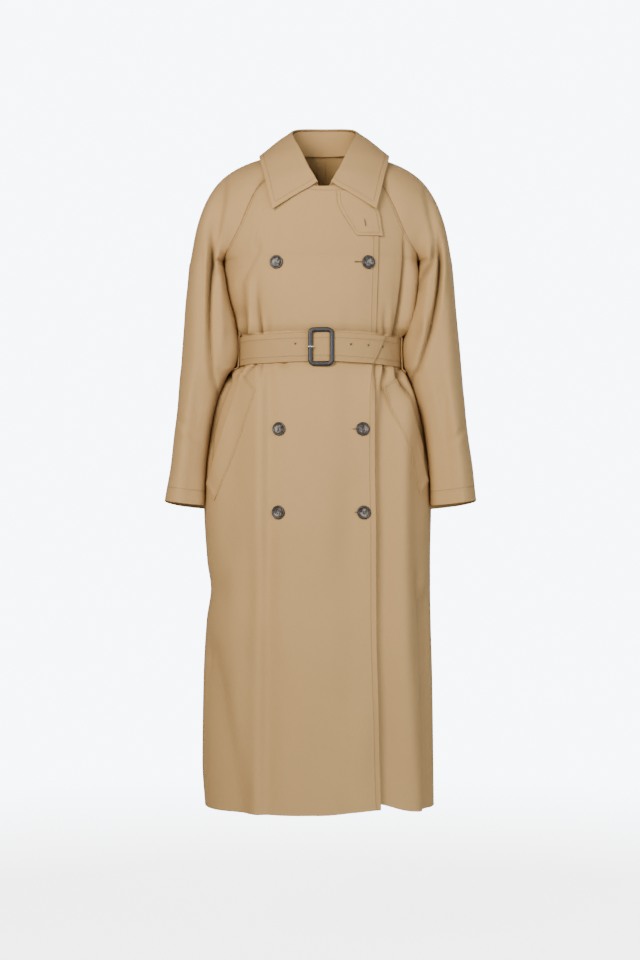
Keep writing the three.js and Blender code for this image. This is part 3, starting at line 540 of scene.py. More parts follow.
def add_margins(points, reach=0.8):
    """Adds a row and a column a little way in from each edge, which keep the edges' rounding narrow."""
    for axis in (0, 1):
        points = np.moveaxis(points, axis, 0)
        first = points[1] - points[0]
        last = points[-2] - points[-1]
        near = points[0] + unit(first) * np.minimum(reach, 0.4 * np.linalg.norm(first, axis=-1, keepdims=True))
        far = points[-1] + unit(last) * np.minimum(reach, 0.4 * np.linalg.norm(last, axis=-1, keepdims=True))
        points = np.concatenate([points[:1], near[None], points[1:-1], far[None], points[-1:]])
        points = np.moveaxis(points, 0, axis)
    return points


class Cloth:
    """The outer face of a sheet of cloth: a grid of points with its normals and its lengths along
    the rows (across) and along the columns (along), all in millimetres."""

    def __init__(self, points, flip=False, creased=None):
        # How much painted shade each point has along the bottoms of the deep folds, repeated at the margins
        creased = np.zeros(points.shape[:2]) if creased is None else creased
        rows, columns = (np.r_[0, 0:count, count - 1] for count in points.shape[:2])
        self.points = add_margins(points)
        self.creased = creased[np.ix_(rows, columns)]
        self.flip = flip
        self.measure()

    def measure(self):
        across = np.gradient(self.points, axis=1)
        along = np.gradient(self.points, axis=0)
        self.normals = unit(np.cross(across, along)) * (-1 if self.flip else 1)
        self.across = self.lengths(1)
        self.along = self.lengths(0)

    def lengths(self, axis):
        steps = np.linalg.norm(np.diff(self.points, axis=axis), axis=-1)
        total = np.cumsum(steps, axis=axis)
        start = np.zeros_like(np.take(total, [0], axis=axis))
        return np.concatenate([start, total], axis=axis)

    def from_end(self, axis):
        """Lengths from the last column (axis 1) or the last row (axis 0) back."""
        lengths = self.across if axis == 1 else self.along
        return np.take(lengths, [-1], axis=axis) - lengths

    def push(self, depth):
        """Moves the points out along their normals, and measures them again."""
        self.points = self.points + self.normals * depth[..., None]
        self.measure()

    def at(self, rows, columns):
        """Points and normals at fractional rows and columns."""
        row = np.clip(np.floor(rows).astype(int), 0, self.points.shape[0] - 2)
        column = np.clip(np.floor(columns).astype(int), 0, self.points.shape[1] - 2)
        down = (rows - row)[..., None]
        right = (columns - column)[..., None]

        def read(grid):
            near = mix(grid[row, column], grid[row, column + 1], right)
            far = mix(grid[row + 1, column], grid[row + 1, column + 1], right)
            return mix(near, far, down)

        return read(self.points), unit(read(self.normals))

    def line_at(self, distances, wanted, axis, first=0, last=None):
        """The line where a distance that grows or falls along an axis has a wanted value."""
        grid = np.moveaxis(distances, axis, 1)
        grid = grid if grid[0, -1] > grid[0, 0] else -grid
        wanted = wanted if distances[0, 0] < distances[-1 if axis == 0 else 0, -1 if axis == 1 else 0] else -wanted
        place = np.clip((grid < wanted).sum(axis=1) - 1, 0, grid.shape[1] - 2)
        lines = np.arange(grid.shape[0])
        low = grid[lines, place]
        high = grid[lines, place + 1]
        found = place + np.clip((wanted - low) / np.maximum(high - low, 1e-9), 0, 1)
        lines = lines[first:last].astype(float)
        found = found[first:last]
        return self.at(lines, found) if axis == 1 else self.at(found, lines)


def add_mesh(name, vertices, faces, maps=None, sewn=None, creased=None):
    """A mesh object from points in millimetres and faces of one size, as whole arrays."""
    mesh = bpy.data.meshes.new(name)
    sides = faces.shape[1]
    mesh.vertices.add(len(vertices))
    mesh.vertices.foreach_set("co", (vertices * MM).astype(np.float32).ravel())
    mesh.loops.add(faces.size)
    mesh.loops.foreach_set("vertex_index", faces.astype(np.int32).ravel())
    mesh.polygons.add(len(faces))
    mesh.polygons.foreach_set("loop_start", np.arange(0, faces.size, sides, dtype=np.int32))
    mesh.update(calc_edges=True)
    if maps is not None:
        layer = mesh.uv_layers.new(name=CLOTH_MAP)
        layer.data.foreach_set("uv", maps[faces.ravel()].astype(np.float32).ravel())
    if sewn is not None:
        marks = mesh.attributes.new(SEWN, "FLOAT_VECTOR", "POINT")
        marks.data.foreach_set("vector", sewn.astype(np.float32).ravel())
    # The painted shade of the deep folds, kept on the points
    if creased is not None:
        shades = mesh.attributes.new(PAINTED_CREASE_SHADE, "FLOAT", "POINT")
        shades.data.foreach_set("value", creased.astype(np.float32).ravel())
    mesh.validate()
    mesh.shade_smooth()
    made = bpy.data.objects.new(name, mesh)
    bpy.context.scene.collection.objects.link(made)
    return made


def grid_faces(rows, columns, closed=False):
    """Quads of a grid, with the last column joined to the first where it is closed."""
    row = np.arange(rows - 1)[:, None] * columns
    column = np.arange(columns if closed else columns - 1)
    following = (column + 1) % columns
    quads = [row + column, row + following, row + columns + following, row + columns + column]
    return np.stack([quad.ravel() for quad in quads], axis=1)


def add_cloth(name, cloth, thickness, marks=(), edges=(1, 1, 1, 1)):
    """A wall with the cloth as its outer face. Its rim is rounded where an edge is free (1), and
    flat where it is sewn (0): at the first row, last column, last row and first column."""
    rows, columns = cloth.points.shape[:2]
    count = rows * columns
    outer = cloth.points
    inner = outer - cloth.normals * thickness
    ways = [outer[0] - outer[1], outer[:, -1] - outer[:, -2], outer[-1] - outer[-2], outer[:, 0] - outer[:, 1]]
    index = np.arange(count).reshape(rows, columns)
    sides = [index[0], index[1:, -1], index[-1, -2::-1], index[-2:0:-1, 0]]
    outward = [ways[0], ways[1][1:], ways[2][-2::-1], ways[3][-2:0:-1]]
    bulge = [np.full(len(side), 0.05 + 0.4 * free) for side, free in zip(sides, edges)]
    loop = np.concatenate(sides)
    reach = unit(np.concatenate(outward)) * np.concatenate(bulge)[:, None] * thickness
    middle = (outer + inner).reshape(-1, 3)[loop] / 2 + reach
    quads = grid_faces(rows, columns)
    rim = 2 * count + np.arange(len(loop))
    after = np.roll(loop, -1)
    rim_after = np.roll(rim, -1)
    outer_rim = np.stack([after, loop, rim, rim_after], axis=1)
    inner_rim = np.stack([rim_after, rim, loop + count, after + count], axis=1)
    faces = np.concatenate([quads, quads[:, ::-1] + count, outer_rim, inner_rim])
    if cloth.flip:
        faces = faces[:, ::-1]
    maps = np.stack([cloth.across, cloth.along], axis=-1).reshape(-1, 2) * MM
    sewn = np.full((rows, columns, 3), UNSEWN)
    for place, mark in enumerate(marks):
        sewn[..., place] = mark
    sewn = sewn.reshape(-1, 3)
    unsewn = np.full_like(sewn, UNSEWN)
    creased = cloth.creased.ravel()
    vertices = np.concatenate([outer.reshape(-1, 3), inner.reshape(-1, 3), middle])
    return add_mesh(
        name, vertices, faces,
        np.concatenate([maps, maps, maps[loop]]),
        np.concatenate([sewn, unsewn, unsewn[loop]]),
        np.concatenate([creased, creased, creased[loop]]),
    )


def add_stitches(name, lines, length, radius, share=0.74):
    """Threads laid end to end along lines of points and normals: four-sided beads that taper."""
    ends = np.array([-1, -0.62, 0.62, 1]) * 0.5 * share * length
    sizes = np.array([0.3, 1, 1, 0.3]) * radius
    turns = np.arange(4) * math.pi / 2 + math.pi / 4
    vertices = []
    for points, normals in lines:
        steps = np.linalg.norm(np.diff(points, axis=0), axis=-1)
        run = np.concatenate([[0], np.cumsum(steps)])
        count = max(1, int(run[-1] / length))
        middles = (np.arange(count) + 0.5) * run[-1] / count
        centre = np.stack([np.interp(middles, run, points[:, axis]) for axis in range(3)], axis=-1)
        normal = unit(np.stack([np.interp(middles, run, normals[:, axis]) for axis in range(3)], axis=-1))
        ahead = np.stack([np.interp(middles + 0.5, run, points[:, axis]) for axis in range(3)], axis=-1)
        behind = np.stack([np.interp(middles - 0.5, run, points[:, axis]) for axis in range(3)], axis=-1)
        forward = unit(ahead - behind)
        beside = np.cross(forward, normal)
        centre = centre + normal * 0.12
        spot = centre[:, None, None] + forward[:, None, None] * ends[None, :, None, None]
        round_it = beside[:, None, None] * np.cos(turns)[None, None, :, None]
        round_it = round_it + normal[:, None, None] * np.sin(turns)[None, None, :, None]
        vertices.append((spot + round_it * sizes[None, :, None, None]).reshape(-1, 16, 3))
    vertices = np.concatenate(vertices)
    beads = grid_faces(4, 4, closed=True)
    caps = np.array([[3, 2, 1, 0], [12, 13, 14, 15]])
    each = np.concatenate([beads, caps])
    faces = (each[None] + np.arange(len(vertices))[:, None, None] * 16).reshape(-1, 4)
    return add_mesh(name, vertices.reshape(-1, 3), faces)


def add_tube(name, path, radius, sides=10, closed=False, flat=1.0, facing=None):
    """A round or flattened section carried along a path of points, with closed ends."""
    path = np.asarray(path, float)
    if closed:
        along = unit(np.roll(path, -1, axis=0) - np.roll(path, 1, axis=0))
    else:
        along = unit(np.gradient(path, axis=0))
    up = np.broadcast_to(np.asarray(facing if facing is not None else (0, -1, 0), float), path.shape)
    beside = unit(np.cross(along, up))
    up = unit(np.cross(beside, along))
    turns = np.arange(sides) * 2 * math.pi / sides
    size = np.broadcast_to(radius, (len(path),))[:, None, None]
    ring = beside[:, None] * np.cos(turns)[None, :, None] + up[:, None] * np.sin(turns)[None, :, None] * flat
    rings = path[:, None] + ring * size
    count = len(path)
    faces = grid_faces(count + 1, sides, closed=True) % (count * sides) if closed else grid_faces(count, sides, True)
    vertices = rings.reshape(-1, 3)
    if not closed:
        ends = np.stack([path[0], path[-1]])
        vertices = np.concatenate([vertices, ends])
        ring_index = np.arange(sides)
        after = (ring_index + 1) % sides
        first = np.stack([after, ring_index, np.full(sides, count * sides), np.full(sides, count * sides)], axis=1)
        last_ring = (count - 1) * sides
        tip = np.full(sides, count * sides + 1)
        last = np.stack([last_ring + ring_index, last_ring + after, tip, tip], axis=1)
        triangles = np.concatenate([first[:, :3], last[:, :3]])
        split = np.concatenate([faces[:, [0, 1, 2]], faces[:, [0, 2, 3]], triangles])
        return add_mesh(name, vertices, split)
    return add_mesh(name, vertices, faces)


def finish_piece(made, material, slot, *nodes):
    """Gives a piece its material and its body, and hides the imported parts of the nodes that it stands for. The slot
    is not used.
    """
    made.data.materials.clear()
    made.data.materials.append(material)
    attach(made, "root")
    if nodes:
        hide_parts(*nodes)
    return made


def join(name, parts):
    """One object from several meshes with the same material."""
    bpy.ops.object.select_all(action="DESELECT")
    for part in parts:
        part.select_set(True)
    bpy.context.view_layer.objects.active = parts[0]
    bpy.ops.object.join()
    parts[0].name = name
    parts[0].data.name = name
    return parts[0]


# Materials


class Value:
    """A shader socket that arithmetic can be written with."""

    def __init__(self, graph, socket):
        self.graph = graph
        self.socket = socket

    def math(self, operation, *others):
        values = {place: value for place, value in enumerate((self, *others))}
        return self.graph.out("ShaderNodeMath", {"operation": operation}, values)

    def __add__(self, other):
        return self.math("ADD", other)

    def __sub__(self, other):
        return self.math("SUBTRACT", other)

    def __rsub__(self, other):
        return self.graph.out("ShaderNodeMath", {"operation": "SUBTRACT"}, {0: other, 1: self})

    def __mul__(self, other):
        return self.math("MULTIPLY", other)

    def __neg__(self):
        return self.math("MULTIPLY", -1.0)

    __radd__ = __add__
    __rmul__ = __mul__

    def sine(self):
        return self.math("SINE")

    def bell(self, width):
        return (self * self * (-1.0 / width**2)).math("EXPONENT")

    def bounded(self):
        return self.math("MAXIMUM", 0.0).math("MINIMUM", 1.0)

    def step(self, start, end):
        """0 up to start, 1 past end and a straight ramp between."""
        return ((self - start) * (1.0 / (end - start))).bounded()


class Graph:
    """The nodes of one material, round its Principled shader."""

    def __init__(self, name):
        self.material = bpy.data.materials.new(name)
        self.material.use_nodes = True
        self.tree = self.material.node_tree
        self.shader = self.tree.nodes["Principled BSDF"]

    def node(self, kind, settings=None, inputs=None):
        made = self.tree.nodes.new(kind)
        for key, value in (settings or {}).items():
            if key == "stops":
                self.set_stops(made.color_ramp, value)
            else:
                setattr(made, key, value)
        for key, value in (inputs or {}).items():
            self.feed(made.inputs[key], value)
        return made

    def feed(self, socket, value):
        if isinstance(value, Value):
            self.tree.links.new(value.socket, socket)
        else:
            socket.default_value = value

    def set_stops(self, ramp, stops):
        while len(ramp.elements) < len(stops):
            ramp.elements.new(0.5)
        for element, (place, colour) in zip(ramp.elements, stops):
            element.position = place
            element.color = (*colour, 1)

    def out(self, kind, settings=None, inputs=None, output=0):
        return Value(self, self.node(kind, settings, inputs).outputs[output])

    def blend(self, share, first, second):
        return self.out("ShaderNodeMix", {"data_type": "RGBA"}, {0: share, 6: first, 7: second}, 2)

    def split(self, vector):
        parts = self.node("ShaderNodeSeparateXYZ", None, {0: vector})
        return [Value(self, socket) for socket in parts.outputs]

    def noise(self, vector, scale, detail=2.0, rough=0.5):
        inputs = {"Vector": vector, "Scale": scale, "Detail": detail, "Roughness": rough}
        return self.out("ShaderNodeTexNoise", None, inputs)

    def place(self):
        return self.out("ShaderNodeTexCoord", output="Object")

    def stretched(self, vector, scale):
        return self.out("ShaderNodeMapping", None, {"Vector": vector, "Scale": scale})

    def bump(self, height, distance, strength=1.0):
        inputs = {"Height": height, "Distance": distance, "Strength": strength}
        normal = self.out("ShaderNodeBump", None, inputs)
        self.set("Normal", normal)

    def set(self, name, value):
        self.feed(self.shader.inputs[name], value)


def scaled(colour, by):
    return tuple(min(1.0, part * by) for part in colour[:3]) + (1,)


def gabardine(name, colour, pitch):
    """Fine steep twill: slanted lines from the cloth's own map, uneven yarns, a slow change of tone,
    and a groove with drawn-in cloth along each sewn line, with painted shade in that groove and along the bottoms of
    the deep folds."""
    graph = Graph(name)
    cloth = graph.out("ShaderNodeUVMap", {"uv_map": CLOTH_MAP})
    u, v, _ = graph.split(cloth)
    sewn = graph.split(graph.out("ShaderNodeAttribute", {"attribute_name": SEWN}, output="Vector"))
    groove = sewn[0].bell(0.9)
    for line in sewn[1:]:
        groove = groove + line.bell(0.9)
    groove = groove.bounded()
    drawn = (sewn[0].bell(4.0) + sewn[1].bell(4.0) + sewn[2].bell(4.0)).bounded()
    twill = ((u * 0.9 + v * 0.45) * (2 * math.pi / (pitch * MM))).sine()
    yarns = graph.noise(graph.stretched(cloth, (900, 90, 1)), 1.0, 3)
    weft = graph.noise(graph.stretched(cloth, (60, 1100, 1)), 1.0, 3)
    tone = graph.noise(graph.place(), 5.0, 3)
    puckers = graph.noise(graph.place(), 150.0, 1)
    nap = graph.noise(graph.place(), 1700.0, 2)
    base = graph.blend(tone.step(0.3, 0.7), scaled(colour, 0.965), scaled(colour, 1.03))
    base = graph.blend(yarns.step(0.35, 0.65) * 0.5, base, scaled(colour, 0.93))
    base = graph.blend(weft.step(0.4, 0.7) * 0.3, base, scaled(colour, 1.06))
    # Painted shade darkens the cloth in the groove along each sewn line
    base = graph.blend(groove * 0.3, base, scaled(colour, 0.62))
    # Painted shade darkens the cloth along the bottoms of the deep folds
    creased = graph.out("ShaderNodeAttribute", {"attribute_name": PAINTED_CREASE_SHADE}, output="Fac")
    base = graph.blend(creased.step(0.1, 1.0), base, scaled(colour, 0.14))
    graph.set("Base Color", base)
    graph.set("Roughness", 0.74 + nap * 0.16)
    graph.set("Specular IOR Level", 0.1)
    graph.set("Sheen Weight", 0.02)
    graph.set("Sheen Roughness", 0.45)
    graph.set("Sheen Tint", scaled(colour, 1.25))
    height = twill * 0.035 + yarns * 0.09 + nap * 0.05 - groove * 0.55 + drawn * puckers * 0.9
    graph.bump(height, MM)
    return graph.material


def sewing_thread(name, colour):
    """Twisted thread: fine slanted ridges and a slight change of tone."""
    graph = Graph(name)
    twist = graph.noise(graph.stretched(graph.place(), (1.0, 1.0, 2.5)), 900.0, 2)
    graph.set("Base Color", graph.blend(twist.step(0.3, 0.7), scaled(colour, 0.8), scaled(colour, 1.05)))
    graph.set("Roughness", 0.6 + twist * 0.2)
    graph.bump(twist, 0.2 * MM)
    return graph.material


def horn(name, dark, light):
    """Polished horn: dark and smoky round the rim, with pale mottling towards the middle."""
    graph = Graph(name)
    place = graph.place()
    radius = graph.split(graph.out("ShaderNodeUVMap", {"uv_map": CLOTH_MAP}))[0]
    smoke = graph.noise(graph.stretched(place, (1.0, 1.0, 1.6)), 150.0, 5, 0.62)
    streaks = graph.noise(graph.stretched(place, (2.4, 1.0, 0.7)), 190.0, 4, 0.6)
    middle = 1.0 - radius.step(0.003, 0.0088)
    pale = (smoke * 0.75 + streaks * 0.45).step(0.56, 0.7) * (middle * 0.92 + 0.06)
    grey = scaled(mix(np.array(dark[:3]), np.array(light[:3]), 0.14), 1.0)
    base = graph.blend(smoke.step(0.35, 0.75), (*dark[:3], 1), grey)
    graph.set("Base Color", graph.blend(pale, base, (*light[:3], 1)))
    graph.set("Roughness", 0.3 + streaks * 0.2)
    graph.set("Specular IOR Level", 0.22)
    graph.set("Coat Weight", 0.06)
    graph.set("Coat Roughness", 0.15)
    graph.bump(smoke, 0.08 * MM)
    return graph.material


def covered_leather(name, colour):
    """Dark leather wrapped round the buckle: small creased pores, and rubbed paler in uneven patches."""
    graph = Graph(name)
    place = graph.place()
    pores = graph.out("ShaderNodeTexVoronoi", {"feature": "DISTANCE_TO_EDGE"}, {"Vector": place, "Scale": 1100.0})
    worn = graph.noise(place, 220.0, 4)
    base = graph.blend(worn.step(0.4, 0.75) * 0.55, (*colour[:3], 1), scaled(colour, 2.3))
    graph.set("Base Color", base)
    graph.set("Roughness", 0.36 + worn * 0.2)
    graph.set("Specular IOR Level", 0.35)
    graph.set("Coat Weight", 0.1)
    graph.set("Coat Roughness", 0.25)
    graph.bump(pores.step(0.0, 0.12), 0.05 * MM)
    return graph.material


def plain_finish(name, colour, roughness, metallic, spots):
    """One finish with faint uneven polish."""
    graph = Graph(name)
    marks = graph.noise(graph.place(), spots, 3)
    graph.set("Base Color", graph.blend(marks.step(0.3, 0.8), (*colour[:3], 1), scaled(colour, 0.85)))
    graph.set("Roughness", roughness + marks * 0.12)
    graph.set("Metallic", metallic)
    graph.bump(marks, 0.02 * MM)
    return graph.material


FINISHES = {
    "coat_cloth": lambda name, cloth, trim: gabardine(name, cloth.colour, cloth.twill_pitch / MM),
    # The belt's cloth is the coat's colour darkened by the belt tone, which is partly its own tone and partly painted
    # shade
    "belt_cloth": lambda name, cloth, trim: gabardine(name, scaled(cloth.colour, cloth.belt_tone_and_shade), cloth.twill_pitch / MM),
    "thread": lambda name, cloth, trim: sewing_thread(name, scaled(cloth.colour, 0.8)),
    "horn": lambda name, cloth, trim: horn(name, trim.horn_dark, trim.horn_pale),
    "button_thread": lambda name, cloth, trim: sewing_thread(name, trim.horn_pale),
    "leather": lambda name, cloth, trim: covered_leather(name, trim.leather),
    "polished_metal": lambda name, cloth, trim: plain_finish(name, trim.metal, 0.16, 1.0, 300.0),
    "hole_shade": lambda name, cloth, trim: plain_finish(name, (0.02, 0.014, 0.01), 0.9, 0.0, 900.0),
}


def material(name):
    """The named finish, made the first time that a piece asks for it."""
    scene = bpy.context.scene
    title = f"finish_{name}"
    return bpy.data.materials.get(title) or FINISHES[name](title, scene.coat_cloth, scene.coat_trim)


# The coat's surfaces


def yoke_height(step, across):
    """The front's top edge slopes from the raglan seam to the centre, and lies level past it."""
    seam_z = RAGLAN.read("frontZ", step)
    slope = (NECK_FRONT_Z - UNDERARM_Z) / (RAGLAN.values["frontZ"][0] - UNDERARM_Z)
    centre_z = UNDERARM_Z + (seam_z - UNDERARM_Z) * slope
    return mix(centre_z, seam_z, across**SQUARENESS)


def front_columns(width, lap):
    """How far out a row's columns are, from the seam to the far edge of the lap."""
    inner = np.minimum(lap, 0.7 * width)
    turn = np.arccos(inner / width)
    outside = width * np.cos(np.linspace(0, 1, 59) * turn)
    inside = inner * (1 - np.linspace(0, 1, 25)[1:])
    across = -lap * np.linspace(0, 1, 27)[1:]
    return np.concatenate([outside, inside, across], axis=1)


PANEL_HEIGHTS = spaced(HEM_Z, (-480, 128), (-424, 22), (-316, 54), (-207, 34))
YOKE_STEPS = np.linspace(RAGLAN_STEPS, 0, 56)


def hem_rise(x, z, on_top):
    low = ease(-1100, HEM_Z, z)
    if on_top:
        return low * 8 * ease(0, 108, x)
    return low * (UNDER_HEM_RISE * ease(190, 100, x) + 8 * ease(160, 110, x))


def front_spot(side, x, z, lift=0.0):
    """A point on one of the fronts. The wearer's right one lies on top."""
    on_top = side < 0
    if on_top:
        lift = lift + on_lap(x) + top_lift(x, z)
    else:
        lift = lift + FOLD_SCALE * fold_depth(UNDER_FOLDS, x, z) * ease(-398, -440, z)
    spot = body_point(x, z, False, lift)
    spot[..., 2] += hem_rise(x, z, on_top)
    return spot


def front_cloth(side):
    """Rows at each height from the hem to the underarm, and then along the raglan seam's steps."""
    z = PANEL_HEIGHTS[:, None]
    lower_x = front_columns(section(z, side, False)[0], FRONT_EDGE.read("x", z))
    lower_z = np.broadcast_to(z, lower_x.shape)
    step = YOKE_STEPS[:, None]
    width = RAGLAN.read("frontX", step)
    level = yoke_height(step, 0.0)
    upper_x = front_columns(width, FRONT_EDGE.read("x", level))
    upper_z = np.where(upper_x > 0, yoke_height(step, np.clip(upper_x / width, 0, 1)), level)
    x = side * np.concatenate([lower_x, upper_x])
    z = np.concatenate([lower_z, upper_z])
    points = front_spot(side, x, z)
    points[: len(PANEL_HEIGHTS) + 1, 0, 1] -= SEAM_GAP / 2
    # Painted shade along the bottoms of the narrow deep folds, kept off the cloth under the belt
    away = ease(BELT_HEIGHT / 2 - 4, BELT_HEIGHT / 2 + 2, np.abs(z - BELT_Z))
    return Cloth(points, side > 0, crease_shade(FRONT_FOLDS, x, z) * away)


def back_cloth(side):
    """Rows at each height from the side seam to the centre seam, and then along the raglan seam."""
    columns = np.cos(np.linspace(0, 1, 74) * math.pi / 2)
    z = np.concatenate([PANEL_HEIGHTS, RAGLAN.read("backZ", YOKE_STEPS)])[:, None]
    low_width = section(PANEL_HEIGHTS, side, True)[0]
    width = np.concatenate([low_width, RAGLAN.read("backX", YOKE_STEPS)])[:, None]
    x = side * columns * width
    points = body_point(x, np.broadcast_to(z, x.shape), True)
    points[:, -1, 0] = side * SEAM_GAP / 2
    points[: len(PANEL_HEIGHTS) + 1, 0, 1] += SEAM_GAP / 2
    return Cloth(points, flip=side < 0)


def bezier(start, leaving, arriving, end, share):
    """Cubic Bezier curves, one for each row of handles, at the shares."""
    p = share[None, :, None]
    q = 1 - p
    start, leaving, arriving, end = (spot[:, None] for spot in (start, leaving, arriving, end))
    return q**3 * start + 3 * q * q * p * leaving + 3 * q * p * p * arriving + p**3 * end


SLEEVE_SHARES = np.linspace(0, 1, 45)


def sleeve_rings(ridge, fore, aft):
    """Rings from the front seam or inner side, round the front to the ridge and round the back."""
    front = bezier(fore[0], fore[1], fore[2], ridge, SLEEVE_SHARES)
    back = bezier(aft[0], aft[1], aft[2], ridge, 1 - SLEEVE_SHARES)
    return np.concatenate([front, back[:, 1:]], axis=1)


def even_handle(start_y, end_y, middle_y):
    return (8 * middle_y - start_y - end_y) / 6


def cap_rings(side, step, front_seam, back_seam):
    """Rings between the raglan seams, which turn from leaving the seams sideways to leaving them
    forwards and back."""
    turn = ease(4, RAGLAN_STEPS, step) ** 2
    ridge_y = mix(-8, -3, step / RAGLAN_STEPS)
    ridge = np.stack([side * RAGLAN.read("ridgeX", step), ridge_y, RAGLAN.read("ridgeZ", step)], axis=-1)

    def half(start, middle_y):
        away = 0.36 * np.linalg.norm(start - ridge, axis=-1) * (1 - turn)
        leaving = start + np.array([side * 0.62, 0, 0.78]) * away[:, None]
        leaving[:, 1] = mix(start[:, 1], even_handle(start[:, 1], ridge[:, 1], middle_y), turn)
        arriving = ridge.copy()
        arriving[:, 1] = (8 * middle_y - start[:, 1] - 3 * leaving[:, 1] - ridge[:, 1]) / 3
        arriving[:, 2] -= 6 * (1 - turn)
        return start, leaving, arriving

    fore = half(front_seam, RAGLAN.read("foreY", step))
    aft = half(back_seam, RAGLAN.read("aftY", step))
    return sleeve_rings(ridge, fore, aft)


def tube_rings(side, z):
    """Closed rings below the underarm. Near the cuff they tip inward and their backs hang lower."""
    name = "Right" if side < 0 else "Left"
    outer = np.stack([side * SLEEVE.read("outer" + name, z), SLEEVE.read("outerY", z), z], axis=-1)
    inner = np.stack([side * SLEEVE.read("inner" + name, z), SLEEVE.read("innerY", z), z], axis=-1)
    slope = INNER_SLOPE * ease(-210, -290, z)

    def half(middle_y):
        handle_y = even_handle(inner[:, 1], outer[:, 1], middle_y)
        leaving = np.stack([inner[:, 0] - side * slope * (handle_y - inner[:, 1]), handle_y, z], axis=-1)
        arriving = np.stack([outer[:, 0], handle_y, z], axis=-1)
        return inner, leaving, arriving

    rings = sleeve_rings(outer, half(SLEEVE.read("foreY", z)), half(SLEEVE.read("aftY", z)))
    squarer_inner_front(rings, z)
    low = ease(-480, CUFF_Z, z)[:, None]
    middle = ((outer[:, 0] + inner[:, 0]) / 2)[:, None]
    inward = side * (middle - rings[..., 0]) / 35
    behind = np.clip((rings[..., 1] - outer[:, 1:2]) / 55, -0.3, 1)
    rings[..., 2] -= low * (CUFF_DROP["inward"] * inward + CUFF_DROP["behind"] * behind)
    return rings


def squarer_inner_front(rings, z):
    """Between the inner side and the foremost point, the share of the way forward is raised to a
    power below 1, so the front stays flat until it is close to the body."""
    start = rings[:, :1, 1]
    foremost = rings[:, :, 1].argmin(axis=1)[:, None]
    reach = start - rings[:, :, 1].min(axis=1, keepdims=True)
    forward = np.clip((start - rings[..., 1]) / reach, 0, 1)
    power = mix(1.0, INNER_FLATNESS, ease(-206, -236, z))[:, None]
    rings[..., 1] = np.where(np.arange(rings.shape[1]) < foremost, start - reach * forward**power, rings[..., 1])


TUBE_HEIGHTS = spaced(-209, (-430, 72), (CUFF_Z, 58))


def sleeve_cloth(side, front, back):
    """The cap's rings between the two raglan seams, and the tube below them, with their folds."""
    first = len(PANEL_HEIGHTS) + 1
    steps = YOKE_STEPS[::-1]
    offset = np.array([side * SEAM_GAP, 0, SEAM_GAP / 3])
    seams = []
    for cloth in (front, back):
        edge = cloth.points[first:, 0][::-1]
        seams.append(np.delete(edge, 1, axis=0) + offset)
    caps = cap_rings(side, steps, *seams)
    joined = (caps[-1, 0] + caps[-1, -1]) / 2
    caps[-1, 0] = caps[-1, -1] = joined
    rings = np.concatenate([caps, tube_rings(side, TUBE_HEIGHTS)])
    middle = rings.mean(axis=1, keepdims=True)
    outward = rings - middle
    outward[..., 2] = 0
    outward = unit(outward)
    at_front = ease(0.05, -0.5, outward[..., 1])
    at_back = ease(-0.05, 0.5, outward[..., 1])
    x, z = rings[..., 0], rings[..., 2]
    place = np.arange(rings.shape[1])
    near_seam = np.minimum(place, rings.shape[1] - 1 - place) / (rings.shape[1] / 9)
    held = np.where(np.arange(len(rings))[:, None] < len(steps), ease(0.25, 1.1, near_seam)[None, :], 1.0)
    depth = FOLD_SCALE * fold_depth(SLEEVE_FRONT_FOLDS[side], x, z) * at_front
    depth = depth + FOLD_SCALE * fold_depth(SLEEVE_BACK_FOLDS, side * x, z) * at_back
    # Painted shade along the bottoms of the narrow deep folds at the sleeve's front
    creased = crease_shade(SLEEVE_FRONT_FOLDS[side], x, z) * at_front * held
    outer_part = ease(-0.1, 0.4, side * outward[..., 0])
    depth = depth + drape(x * 0.6 + rings[..., 1] * side, z, 21 + side, 0.9) * ease(-120, -260, z) * outer_part
    way = outward * np.array([0.4, 1, 1])
    rings = rings + way * (depth * held)[..., None]
    rings[..., 0] = side * close_to_body(side * x, rings[..., 1], z, side)
    return Cloth(rings, side > 0, creased)


def close_to_body(out, y, z, side):
    """The sleeve's inner side is drawn in until it lies against the body's side or the belt, and
    bulges in a little way behind them."""
    width, depth = section(z, side, y > 0)
    room = 1 - np.clip(np.abs(y) / depth, 0, 1) ** SQUARENESS
    touching = width * room ** (1 / SQUARENESS) - 0.7 + BELT_ROOM * bell(z - BELT_Z, 34)
    drawn = SLEEVE_DRAW * ease(width + 24, width + 6, out) * ease(-203, -216, z)
    out = np.where(out > touching, np.maximum(out - drawn, touching), out)
    share = bell(y - 48, 19) * ease(width + 42, width + 14, out) * ease(-188, -200, z) * ease(-560, -480, z)
    return mix(out, np.minimum(out, touching + 1.5), share)


def catmull(points, count, axis=0):
    """A smooth curve through the points along an axis: Catmull-Rom cubics, with mirrored ends."""
    points = np.moveaxis(points, axis, 0)
    ends = np.concatenate([2 * points[:1] - points[1:2], points, 2 * points[-1:] - points[-2:-1]])
    where = np.linspace(0, len(points) - 1, count)
    row = np.minimum(where.astype(int), len(points) - 2)
    p = (where - row).reshape(-1, *([1] * (points.ndim - 1)))
    a, b, c, d = (ends[row + shift] for shift in range(4))
    curve = b + 0.5 * p * (c - a + p * (2 * a - 5 * b + 4 * c - d + p * (3 * (b - c) + d - a)))
    return np.moveaxis(curve, 0, axis)


def collar_lines():
    """Fold line, outer edge and outward way at each table row, from one front end to the other."""
    sides = np.array([-1.0] * (COLLAR_STEPS + 1) + [1.0] * COLLAR_STEPS)
    steps = np.array([*range(COLLAR_STEPS + 1), *range(COLLAR_STEPS - 1, -1, -1)])

    def line(name):
        spots = [side * COLLAR.values[f"{name}X"][step] + COLLAR_CENTRE_X for side, step in zip(sides, steps)]
        return np.stack([spots, COLLAR.values[f"{name}Y"][steps], COLLAR.values[f"{name}Z"][steps]], axis=-1)

    fold, edge = line("fold"), line("edge")
    outward = edge - fold
    outward[:, 2] = 0
    return sides, steps, fold, edge, unit(outward)


